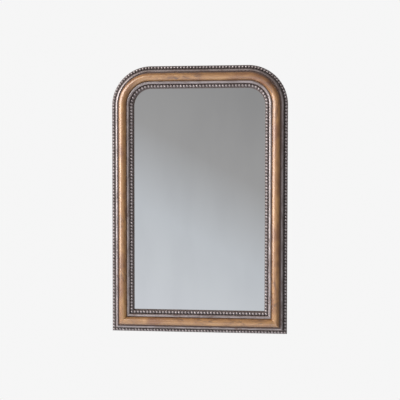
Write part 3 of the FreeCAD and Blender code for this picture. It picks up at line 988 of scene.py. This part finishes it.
@dataclass
class MouldedFrame(Assembly):
    """The six members of the frame, each a length of the one moulding; margins are in millimetres."""

    layout: Layout
    half_round_steps: int = 20
    outer_fillet_steps: int = 8
    inner_fillet_steps: int = 10
    arris_segments: int = 3
    corner_steps: int = 28
    side_margin: float = 0.2
    rebate_margin: float = 0.5
    level_margin: float = 0.05
    no_mitre: float = 1.0

    def section(self, mesh: BMesh) -> None:
        """Draws the moulding's section, its arrises rounded.

        Args:
            mesh: The bmesh to draw in, in millimetres.
        """
        m = MOULDING
        outer_radius, outer_turn = upright_arc(
            m.outer_fillet_end - m.ledge, m.outer_fillet_top - m.outer_fillet_foot
        )
        inner_radius, inner_turn = upright_arc(
            m.inner_fillet_end - m.inner_fillet_start, m.inner_fillet_top - m.inner_fillet_foot
        )
        pen = Pen(mesh)
        arrises = [pen.line(0, 0), pen.line(0, m.side_height)]
        pen.line(m.ledge, m.side_height)
        pen.line(m.ledge, m.outer_fillet_foot)
        outer_centre = m.ledge + outer_radius
        inner_centre = m.inner_fillet_end - inner_radius
        arrises.append(pen.arc(outer_centre, m.outer_fillet_foot, -outer_turn, self.outer_fillet_steps))
        pen.line(m.outer_fillet_end, m.outer_quirk_floor)
        pen.line(m.half_round_start, m.outer_quirk_floor)
        pen.line(m.half_round_start, m.half_round_level)
        pen.arc(m.half_round_middle, m.half_round_level, -180, self.half_round_steps)
        pen.line(m.half_round_end, m.inner_quirk_floor)
        pen.line(m.inner_fillet_start, m.inner_quirk_floor)
        arrises.append(pen.line(m.inner_fillet_start, m.inner_fillet_top))
        pen.arc(inner_centre, m.inner_fillet_foot, -inner_turn, self.inner_fillet_steps)
        pen.line(m.inner_fillet_end, m.inner_ledge_height)
        arrises.append(pen.line(m.width, m.inner_ledge_height))
        pen.line(m.width, m.glass_level)
        pen.line(m.glass_rebate, m.glass_level)
        pen.line(m.glass_rebate, m.panel_level)
        pen.line(m.panel_rebate, m.panel_level)
        arrises.append(pen.line(m.panel_rebate, 0))
        pen.close()
        round_off(mesh, arrises, m.arris, self.arris_segments, Bevel.CORNERS)

    def straight(self, matrix: Matrix, start: float, end: float, mitred: tuple[bool, bool]) -> BMesh:
        """A straight member.

        Args:
            matrix: Where the section's axes come to lie.
            start: Where the outer edge starts along the member, in millimetres.
            end: Where it ends.
            mitred: Whether the start and the end are cut at 45 degrees.

        Returns:
            The member's bmesh, in place, with each point's distances to its joints and mitres.
        """
        mesh = bmesh.new()
        joints = mesh.verts.layers.float_vector.new("joints")
        mitres = mesh.verts.layers.float_vector.new("mitres")
        self.section(mesh)
        near, distant = draw_out(mesh, start, end)
        length = (end - start) * MM
        for verts, cut, inwards, gone in ((near, mitred[0], 1, 0.0), (distant, mitred[1], -1, length)):
            left = length - gone
            to_mitres = (gone if mitred[0] else self.no_mitre, left if mitred[1] else self.no_mitre, 0.0)
            for vert in verts:
                vert.co.z += inwards * vert.co.x if cut else 0.0
                vert[joints] = (gone, left, 0.0)
                vert[mitres] = to_mitres
        bmesh.ops.transform(mesh, matrix=matrix, verts=mesh.verts)
        return mesh

    def corner(self, side: Side) -> BMesh:
        """A quarter ring of the moulding.

        Args:
            side: Which upper corner it is.

        Returns:
            The corner's bmesh, in place, with each point's distances to its joints and mitres.
        """
        lay = self.layout
        mesh = bmesh.new()
        self.section(mesh)
        lay.sweep_corner(mesh, side, self.corner_steps)
        joints = mesh.verts.layers.float_vector.new("joints")
        mitres = mesh.verts.layers.float_vector.new("mitres")
        for vert in mesh.verts:
            arm = vert.co - lay.corner_centre(side)
            angle = math.atan2(arm.z, side.value * arm.x)
            vert[joints] = Vector((angle, math.pi / 2 - angle, 0.0)) * lay.crest_radius
            vert[mitres] = (self.no_mitre, self.no_mitre, 0.0)
        return mesh

    def sort_faces(self, mesh: BMesh, lie_of: Lie) -> None:
        """Writes how each point lies in the moulding, and gives each face its finish's number.

        Args:
            mesh: A member's bmesh, in place.
            lie_of: Gives a point's run, inset and rise.
        """
        bmesh.ops.recalc_face_normals(mesh, faces=mesh.faces)
        m = MOULDING
        rebate = m.glass_rebate - self.rebate_margin
        layer = mesh.verts.layers.float_vector.new("lie")
        for vert in mesh.verts:
            vert[layer] = lie_of(vert.co)
        for face in mesh.faces:
            _, inset, rise = sum((vert[layer] for vert in face.verts), Vector()) / len(face.verts) / MM
            low = rise < m.side_height - self.side_margin
            in_rebate = inset > rebate and rise < m.glass_level + self.level_margin
            end_grain = len(face.verts) > 4
            if low and inset < m.arris:
                face.material_index = Surface.SIDE
            else:
                face.material_index = Surface.WOOD if low or in_rebate or end_grain else Surface.GILT

    def build(self) -> None:
        """Makes and dresses the six members."""
        finishes = {
            Surface.GILT: GiltFinish(),
            Surface.WOOD: BareWoodFinish(),
            Surface.SIDE: EdgePaintFinish(),
        }
        materials = [finishes[surface].material() for surface in Surface]
        lay = self.layout
        length = lay.stile_length / MM
        reach = lay.half_width / MM
        joint = lay.corner_reach / MM
        members: dict[str, tuple[BMesh, Lie]] = {
            "bottom_rail": (self.straight(lay.bottom_matrix(), -reach, reach, (True, True)), lay.bottom_lie),
            "top_rail": (self.straight(lay.top_matrix(), -joint, joint, (False, False)), lay.top_lie),
        }
        for side in Side:
            stile = self.straight(lay.stile_matrix(side), 0, length, (False, True))
            members[f"{side.word}_stile"] = (stile, partial(lay.stile_lie, side))
            members[f"{side.word}_corner"] = (self.corner(side), partial(lay.corner_lie, side))
        for node, (mesh, lie_of) in members.items():
            self.sort_faces(mesh, lie_of)
            self.piece(mesh, f"{node}_moulding", "gilt_wood", materials, [node])


@dataclass
class BeadRow(Assembly):
    """One row of beads round the frame, on strips that lie on a ledge of the moulding, in millimetres."""

    layout: Layout
    word: str
    inset: float
    ledge_height: float
    material: Material
    pitch: float = 10.9
    radius: float = 5.0
    foot_sink: float = 0.3
    on_equator: float = 0.01
    strip_width: float = 11.2
    strip_thickness: float = 1.6
    strip_arris: float = 0.35
    arris_segments: int = 2
    segments: int = 14
    rings: int = 4
    corner_steps: int = 24

    def bead(self, mesh: BMesh) -> list[BMVert]:
        """One bead at the origin, its crown along Y, its foot a little below the strip's face.

        Args:
            mesh: The bmesh that gets it.

        Returns:
            The bead's vertices.
        """
        made = bmesh.ops.create_uvsphere(
            mesh, u_segments=self.segments, v_segments=2 * self.rings, radius=self.radius, matrix=Z_TO_Y
        )
        low = [vert for vert in made["verts"] if vert.co.y < -self.on_equator]
        kept = [vert for vert in made["verts"] if vert.co.y >= -self.on_equator]
        bmesh.ops.delete(mesh, geom=low, context="VERTS")
        foot = [vert for vert in kept if vert.co.y < self.on_equator]
        bmesh.ops.translate(mesh, verts=foot, vec=(0, -self.foot_sink, 0))
        bmesh.ops.contextual_create(mesh, geom=foot)
        bmesh.ops.translate(mesh, verts=kept, vec=(0, self.ledge_height + self.strip_thickness, 0))
        return kept

    def strip_section(self, mesh: BMesh) -> None:
        """Draws the strip's section with rounded upper arrises, in the moulding's terms.

        Args:
            mesh: The bmesh to draw in.
        """
        pen = Pen(mesh)
        low, high = self.inset - self.strip_width / 2, self.inset + self.strip_width / 2
        top = self.ledge_height + self.strip_thickness
        pen.line(low, self.ledge_height)
        arrises = [pen.line(low, top), pen.line(high, top)]
        pen.line(high, self.ledge_height)
        pen.close()
        round_off(mesh, arrises, self.strip_arris, self.arris_segments, Bevel.CORNERS)

    def straight(self, matrix: Matrix, start: float, end: float, places: Iterable[float]) -> BMesh:
        """A straight strip with its beads.

        Args:
            matrix: Where the section's axes come to lie.
            start: Where the strip starts along the member, in millimetres.
            end: Where it ends.
            places: Where its beads are along the member.

        Returns:
            The strip's bmesh, in place.
        """
        mesh = bmesh.new()
        self.strip_section(mesh)
        draw_out(mesh, start, end)
        for along in places:
            bmesh.ops.translate(mesh, verts=self.bead(mesh), vec=(self.inset, 0, along))
        bmesh.ops.transform(mesh, matrix=matrix, verts=mesh.verts)
        return mesh

    def corner(self, side: Side) -> BMesh:
        """A quarter ring of beads.

        Args:
            side: Which upper corner it goes round.

        Returns:
            The strip's bmesh, in place.
        """
        lay = self.layout
        mesh = bmesh.new()
        self.strip_section(mesh)
        lay.sweep_corner(mesh, side, self.corner_steps)
        row_radius = lay.corner_radius / MM - self.inset
        count = round(row_radius * math.pi / 2 / self.pitch)
        for number in range(count):
            verts = self.bead(mesh)
            bmesh.ops.translate(mesh, verts=verts, vec=(self.inset, 0, 0))
            bmesh.ops.transform(mesh, matrix=lay.stile_matrix(side), verts=verts)
            turn = Matrix.Rotation(lay.quarter(side) * (number + 0.5) / count, 3, "Y")
            bmesh.ops.rotate(mesh, verts=verts, cent=lay.corner_centre(side), matrix=turn)
        return mesh

    def write_relief(self, mesh: BMesh) -> None:
        """Writes each point's height above the ledge, from 0 at the foot to 1 at a crown.

        Args:
            mesh: A strip's bmesh, in place.
        """
        bmesh.ops.recalc_face_normals(mesh, faces=mesh.faces)
        layer = mesh.verts.layers.float.new("relief")
        for vert in mesh.verts:
            height = (self.layout.back - vert.co.y) / MM - self.ledge_height
            vert[layer] = height / (self.strip_thickness + self.radius)

    def build(self) -> None:
        """Makes and dresses the row's six strips."""
        lay = self.layout
        half_strip = self.strip_width / 2
        side_run = lay.stile_length / MM - self.inset
        side_count = round(side_run / self.pitch - 0.5)
        side_pitch = side_run / (side_count + 0.5)
        side_places = [side_pitch * (number + 0.5) for number in range(side_count)]
        reach = lay.half_width / MM - self.inset
        gaps = round(2 * reach / self.pitch)
        bottom_places = [reach * (2 * number / gaps - 1) for number in range(gaps + 1)]
        joint = lay.corner_reach / MM
        top_count = round(2 * joint / self.pitch)
        top_places = [joint * ((2 * number + 1) / top_count - 1) for number in range(top_count)]
        strips = {
            "bottom": self.straight(
                lay.bottom_matrix(), -reach - half_strip, reach + half_strip, bottom_places
            ),
            "top": self.straight(lay.top_matrix(), -joint, joint, top_places),
        }
        for side in Side:
            strips[side.word] = self.straight(
                lay.stile_matrix(side), 0, side_run - half_strip, side_places
            )
            strips[f"{side.word}_corner"] = self.corner(side)
        for place, mesh in strips.items():
            self.write_relief(mesh)
            name = f"{self.word}_bead_strip_{place}"
            self.piece(mesh, name, "silvered_beads", [self.material], [f"{self.word}_beads_{place}"])


@dataclass
class GlassAndBack(Assembly):
    """The glass, its packing and blocks, the back panel and the dowels: CAD nodes that keep their shape."""

    def build(self) -> None:
        """Dresses the sheets, the blocks and the dowels."""
        finishes = {
            "mirror_glass": MirrorFinish(),
            "back_panel": BoardFinish(
                "back_hardboard",
                body=(0.26, 0.155, 0.085),
                fibre=(0.17, 0.095, 0.05),
                stain=(0.115, 0.07, 0.042),
                mesh_pitch=0.0024,
            ),
            "packing_sheet": BoardFinish(
                "packing_card", body=(0.42, 0.36, 0.28), fibre=(0.33, 0.28, 0.21), stain=(0.27, 0.23, 0.18)
            ),
            "setting_blocks": RubberFinish("setting_block_rubber", rubber=(0.03, 0.03, 0.03)),
            "corner_dowels": BareWoodFinish(
                "dowel_beech",
                pale=(0.56, 0.37, 0.21),
                dark=(0.40, 0.24, 0.12),
                aged=(0.30, 0.19, 0.10),
                coordinates="",
            ),
        }
        for node, finish in finishes.items():
            self.dress(node, finish.material())


@dataclass
class MitreNails(Assembly):
    """Angled nails across the lower mitres, their heads a hair proud of the wood, in millimetres."""

    material: Material
    proud: float = 0.12
    head_margin: float = 0.1

    def build(self) -> None:
        """Makes and dresses the four nails."""
        mesh = self.merged("mitre_nails")
        back = max(vert.co.y for vert in mesh.verts)
        heads = [vert for vert in mesh.verts if vert.co.y > back - self.head_margin * MM]
        bmesh.ops.translate(mesh, verts=heads, vec=(0, self.proud * MM, 0))
        self.piece(mesh, "mitre_nail_set", "nail_steel", [self.material], ["mitre_nails"])


def both_sides(side: float, levels: Sequence[float]) -> list[Pair]:
    """Places in millimetres at some levels, first on the left and then on the right."""
    return [(x, z) for x in (-side, side) for z in levels]


PANEL_SCREWS = both_sides(243.0, (-600.0, -421.667, -243.333, -65.0)) + both_sides(110.0, (-663.0, 133.0))
STRAP_SCREWS = both_sides(275.0, (-40.0, -23.0))


@dataclass
class Screws(Assembly):
    """A set of pan head screws, their heads towards the wall, in millimetres."""

    node: str
    name: str
    material: Material
    head_radius: float
    head_height: float
    shank_radius: float
    length: float
    tip: float
    seat: float
    places: Sequence[Pair]
    head_round: float = 1.0
    head_steps: int = 4
    crown_level: float = 0.99
    crown_margin: float = 0.22
    crown_reach: float = 0.7
    recess_width: float = 0.8
    recess_depth: float = 0.9
    recess_taper: float = 0.72
    twist: float = 2.4
    segments: int = 28

    def crown_faces(self, mesh: BMesh) -> list[BMFace]:
        """The flat faces in the middle of a head's crown.

        Args:
            mesh: The screw's bmesh.

        Returns:
            The faces.
        """
        reach = (self.head_radius - self.head_round) * self.crown_reach
        return [
            face
            for face in mesh.faces
            if face.normal.z > self.crown_level and face.calc_center_median().to_2d().length < reach
        ]

    def turned(self) -> BMesh:
        """One screw without its recess, at the origin, its head along Z.

        Returns:
            The screw's bmesh.
        """
        mesh = bmesh.new()
        pen = Pen(mesh)
        rim = self.head_radius - self.head_round
        shoulder = self.head_height - self.head_round
        pen.line(0, -self.length)
        pen.line(self.shank_radius, self.tip - self.length)
        pen.line(self.shank_radius, 0)
        pen.line(self.head_radius, 0)
        pen.line(self.head_radius, shoulder)
        pen.arc(rim, shoulder, 90, self.head_steps)
        upright = Matrix.Rotation(math.radians(90), 4, "X")
        bmesh.ops.transform(mesh, matrix=upright, verts=mesh.verts)
        bmesh.ops.spin(
            mesh,
            geom=[*mesh.verts, *mesh.edges],
            cent=(0, 0, 0),
            axis=(0, 0, 1),
            angle=2 * math.pi,
            steps=self.segments,
            use_merge=True,
        )
        bmesh.ops.remove_doubles(mesh, verts=mesh.verts, dist=CLOSE)
        bmesh.ops.edgeloop_fill(mesh, edges=[edge for edge in mesh.edges if edge.is_boundary])
        bmesh.ops.recalc_face_normals(mesh, faces=mesh.faces)
        crown = max(mesh.faces, key=lambda face: len(face.verts))
        bmesh.ops.inset_region(mesh, faces=[crown], thickness=rim * self.crown_margin)
        return mesh

    def recess(self, mesh: BMesh) -> None:
        """Sinks a cross recess into a screw's head; the crown's own faces stay over its mouth.

        Args:
            mesh: The screw's bmesh.
        """
        half = self.recess_width / 2
        for axis in (Vector((1, 0, 0)), Vector((0, 1, 0))):
            for offset in (-half, half):
                crown = self.crown_faces(mesh)
                cut = dict.fromkeys(item for face in crown for item in (face, *face.edges, *face.verts))
                bmesh.ops.bisect_plane(mesh, geom=list(cut), plane_co=axis * offset, plane_no=axis)
        cross = [
            face
            for face in self.crown_faces(mesh)
            if min(abs(part) for part in face.calc_center_median().to_2d()) < half + CLOSE
        ]
        floor = points_of(bmesh.ops.extrude_face_region(mesh, geom=cross)["geom"])
        bmesh.ops.translate(mesh, verts=floor, vec=(0, 0, -self.recess_depth))
        bmesh.ops.scale(mesh, verts=floor, vec=(self.recess_taper, self.recess_taper, 1.0))
        bmesh.ops.recalc_face_normals(mesh, faces=mesh.faces)

    def build(self) -> None:
        """Makes and dresses the set, each screw turned a little further than the last."""
        one = self.turned()
        self.recess(one)
        pattern = bpy.data.meshes.new("screw_pattern")
        one.to_mesh(pattern)
        one.free()
        mesh = bmesh.new()
        for number, (x, z) in enumerate(self.places):
            before = len(mesh.verts)
            mesh.from_mesh(pattern)
            mesh.verts.ensure_lookup_table()
            twist = Matrix.Rotation(number * self.twist, 4, "Z")
            place = Matrix.Translation((x * MM, self.seat * MM, z * MM))
            matrix = place @ Z_TO_Y @ twist @ Matrix.Scale(MM, 4)
            bmesh.ops.transform(mesh, matrix=matrix, verts=mesh.verts[before:])
        bpy.data.meshes.remove(pattern)
        self.piece(mesh, self.name, "zinc_screws", [self.material], [self.node])


@dataclass
class Hanger(Assembly):
    """A strap folded round the bar of a swinging ring, on one stile, in millimetres."""

    side: Side
    strap_material: Material
    ring_material: Material
    sheet: float = 1.2
    clearance: float = 0.02
    end_radius: float = 5.0
    end_segments: int = 6
    eye_bend: float = 2.5
    fold_degrees: float = 222.0
    fold_steps: int = 20
    tail_drop: float = 6.0

    def strap(self) -> BMesh:
        """The folded strap.

        Returns:
            The strap's bmesh, in place.
        """
        low, high = (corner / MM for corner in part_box(f"{self.side.word}_hanger_strap"))
        half = self.sheet / 2
        eye_y = high.y - self.eye_bend - half
        eye_z = high.z - self.eye_bend - half
        mesh = bmesh.new()
        pen = Pen(mesh)
        pen.line(low.y + half, low.z)
        pen.line(eye_y - self.eye_bend, eye_z)
        pen.arc(eye_y, eye_z, -self.fold_degrees, self.fold_steps)
        pen.line(low.y + 3 * half, eye_z - self.tail_drop)
        pen.line(low.y + 3 * half, low.z)
        # What was drawn along x and y comes to lie along y and z, at the strap's left edge.
        stand = Matrix(((0, 0, 1, low.x), (1, 0, 0, 0), (0, 1, 0, 0), (0, 0, 0, 1)))
        bmesh.ops.transform(mesh, matrix=stand, verts=mesh.verts)
        made = bmesh.ops.extrude_edge_only(mesh, edges=mesh.edges[:])["geom"]
        bmesh.ops.translate(mesh, verts=points_of(made), vec=(high.x - low.x, 0, 0))
        corners = [vert for vert in mesh.verts if abs(vert.co.z - low.z) < CLOSE]
        round_off(mesh, corners, self.end_radius, self.end_segments, Bevel.CORNERS)
        bmesh.ops.recalc_face_normals(mesh, faces=mesh.faces)
        bmesh.ops.solidify(mesh, geom=mesh.faces[:], thickness=self.sheet - self.clearance)
        bmesh.ops.recalc_face_normals(mesh, faces=mesh.faces)
        bmesh.ops.scale(mesh, verts=mesh.verts, vec=(MM, MM, MM))
        return mesh

    def build(self) -> None:
        """Makes and dresses the strap and the ring."""
        word = self.side.word
        strap, ring = f"{word}_hanger_strap", f"{word}_hanger_ring"
        self.piece(self.strap(), f"{word}_folded_strap", "hanger_steel", [self.strap_material], [strap])
        looped = self.merged(ring)
        self.piece(looped, f"{word}_swing_ring", "ring_steel", [self.ring_material], [ring], f"{word}_ring")


@dataclass
class Bumpers(Assembly):
    """Two rubber pads low on the back, in millimetres."""

    material: Material
    radius: float = 6.0
    rounding: float = 1.5
    round_segments: int = 5
    segments: int = 40

    def build(self) -> None:
        """Makes and dresses both pads."""
        low, high = (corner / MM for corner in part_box("wall_bumpers"))
        mesh = bmesh.new()
        for x in (low.x + self.radius, high.x - self.radius):
            place = Matrix.Translation((x, (low.y + high.y) / 2, (low.z + high.z) / 2))
            made = bmesh.ops.create_cone(
                mesh,
                cap_ends=True,
                segments=self.segments,
                radius1=self.radius,
                radius2=self.radius,
                depth=high.y - low.y,
                matrix=place @ Z_TO_Y,
            )
            edges = dict.fromkeys(edge for vert in made["verts"] for edge in vert.link_edges)
            rim = [edge for edge in edges if all(abs(vert.co.y - high.y) < CLOSE for vert in edge.verts)]
            round_off(mesh, rim, self.rounding, self.round_segments, Bevel.EDGES)
        bmesh.ops.scale(mesh, verts=mesh.verts, vec=(MM, MM, MM))
        bmesh.ops.recalc_face_normals(mesh, faces=mesh.faces)
        self.piece(mesh, "bumper_pads", "bumper_rubber", [self.material], ["wall_bumpers"])


@dataclass(frozen=True)
class Lamp:
    """A soft rectangular lamp; it faces the mirror's middle unless a target is given."""

    name: str
    place: Place
    size: Pair
    power: float
    colour: Colour
    target: Place = (0.0, 0.0, -0.265)
    mirrored: bool = True

    def build(self) -> None:
        """Adds the lamp; one that isn't mirrored doesn't show in glossy surfaces."""
        data = bpy.data.lights.new(self.name, "AREA")
        data.shape = "RECTANGLE"
        data.size, data.size_y = self.size
        data.energy = self.power
        data.color = self.colour
        made = put(self.name, data)
        made.location = self.place
        facing = Vector(self.target) - Vector(self.place)
        made.rotation_euler = facing.to_track_quat("-Z", "Y").to_euler()
        made.visible_glossy = self.mirrored


@dataclass
class Studio:
    """Camera, lamps, world and floor."""

    camera_place: Place = (0.1965, -2.2612, -0.1986)
    camera_turn: Place = (88.287, -0.066, 4.919)
    lens: float = 59.46
    sensor: float = 36.0
    background: float = 0.92
    wall_tilt: float = 0.55
    wall_span: float = 0.45
    wall_tones: tuple[tuple[float, Colour], ...] = (
        (0.0, (0.22, 0.22, 0.22)),
        (0.36, (0.30, 0.30, 0.30)),
        (0.51, (0.36, 0.36, 0.36)),
        (0.65, (0.55, 0.58, 0.61)),
        (0.74, (0.61, 0.64, 0.67)),
        (1.0, (0.70, 0.72, 0.78)),
    )
    flank: Pair = (0.25, 0.85)
    flank_light: float = 0.45
    below: Pair = (-0.90, -0.35)
    floor_light: float = 0.2
    floor_drop: float = 0.58
    floor_radius: float = 0.9
    floor_segments: int = 96
    lamps: tuple[Lamp, ...] = (
        Lamp("left_window", (-4.2, -2.0, 0.8), (3.1, 4.0), 158.0, (1.0, 0.98, 0.96)),
        Lamp("front_screen", (-2.4, -4.2, 1.9), (2.2, 2.2), 64.0, (1.0, 0.99, 0.98)),
        Lamp(
            "floor_bounce",
            (0.0, -0.9, -1.25),
            (1.6, 0.5),
            5.5,
            (0.68, 0.85, 1.0),
            target=(0.0, 0.0, -0.7),
            mirrored=False,
        ),
        Lamp("back_fill", (1.5, 2.3, 0.9), (1.8, 1.8), 40.0, (1.0, 1.0, 1.0)),
    )

    def camera(self) -> None:
        """Sets the camera at the photograph's angle."""
        data = bpy.data.cameras.new("camera")
        data.lens = self.lens
        data.sensor_width = self.sensor
        made = put("camera", data)
        made.location = self.camera_place
        made.rotation_euler = [math.radians(angle) for angle in self.camera_turn]
        bpy.context.scene.camera = made

    def world(self) -> None:
        """A pale backdrop to the camera, and to all else a room that is light below and on the left."""
        world = bpy.data.worlds.new("studio")
        bpy.context.scene.world = world
        world.use_nodes = True
        world.node_tree.nodes.clear()
        sheet = NodeSheet(world.node_tree)
        direction = sheet.node("ShaderNodeTexCoord", {}).outputs["Generated"]
        across, _, up = sheet.parts(direction)
        slope = sheet.plus(sheet.times(across, -self.wall_tilt), sheet.times(up, -1.0))
        span = {"Value": slope, "From Min": -self.wall_span, "From Max": self.wall_span}
        wall = sheet.ramp(sheet.node("ShaderNodeMapRange", span).outputs[0], self.wall_tones)
        flank = sheet.step(sheet.maths("ABSOLUTE", across), *self.flank, 1.0, self.flank_light)
        below = sheet.step(up, *self.below, self.floor_light, 0.0)
        lit = {"Color": wall, "Strength": sheet.plus(flank, below)}
        room = sheet.node("ShaderNodeBackground", lit).outputs[0]
        backdrop = sheet.node("ShaderNodeBackground", {"Color": [self.background] * 3}).outputs[0]
        seen = sheet.node("ShaderNodeLightPath", {}).outputs["Is Camera Ray"]
        mixed = sheet.node("ShaderNodeMixShader", {0: seen, 1: room, 2: backdrop}).outputs[0]
        sheet.node("ShaderNodeOutputWorld", {"Surface": mixed})

    def floor(self) -> None:
        """A pale round floor below the mirror."""
        mesh = bmesh.new()
        bmesh.ops.create_circle(mesh, cap_ends=True, segments=self.floor_segments, radius=self.floor_radius)
        bmesh.ops.translate(mesh, verts=mesh.verts, vec=(0, 0, cad_box[0].z - self.floor_drop))
        data = bpy.data.meshes.new("floor")
        mesh.to_mesh(data)
        mesh.free()
        data.materials.append(FloorFinish().material())
        made = put("floor", data)

    def build(self) -> None:
        """Sets up camera, world, floor, lamps and the view transform."""
        self.camera()
        self.world()
        self.floor()
        for lamp in self.lamps:
            lamp.build()
        bpy.context.scene.view_settings.view_transform = "Standard"


def build_fittings() -> None:
    """Builds the nails, screws, hangers and bumpers with their finishes."""
    nail = PlatedFinish("nail_steel", bright=(0.46, 0.46, 0.47), clouded=(0.34, 0.33, 0.33))
    MitreNails(nail.material()).build()
    zinc = PlatedFinish("zinc_screws", bright=(0.60, 0.61, 0.62), clouded=(0.50, 0.47, 0.38)).material()
    Screws(
        "panel_screws",
        "panel_screw_set",
        zinc,
        head_radius=3.0,
        head_height=1.8,
        shank_radius=1.5,
        length=13.0,
        tip=3.0,
        seat=-8.5,
        places=PANEL_SCREWS,
    ).build()
    Screws(
        "hanger_screws",
        "hanger_screw_set",
        zinc,
        head_radius=3.8,
        head_height=2.2,
        shank_radius=2.0,
        length=20.0,
        tip=4.0,
        seat=-4.1,
        places=STRAP_SCREWS,
    ).build()
    strap = PlatedFinish("hanger_steel", (0.58, 0.57, 0.55), (0.46, 0.44, 0.41), roughness=0.32).material()
    ring = PlatedFinish("ring_steel", (0.64, 0.63, 0.61), (0.52, 0.50, 0.47), roughness=0.22).material()
    for side in Side:
        Hanger(side, strap, ring).build()
    Bumpers(RubberFinish().material()).build()


def main() -> None:
    """Builds the sub-assemblies in order."""
    logging.basicConfig(level=logging.INFO, format="%(message)s")
    layout = Layout.from_frame()
    MouldedFrame(layout).build()
    beads = BeadFinish().material()
    middle = MOULDING.ledge / 2
    BeadRow(layout, "outer", middle, MOULDING.side_height, beads).build()
    BeadRow(layout, "inner", MOULDING.width - middle, MOULDING.inner_ledge_height, beads).build()
    GlassAndBack().build()
    build_fittings()
    Studio().build()


if __name__ == "__main__":
    main()
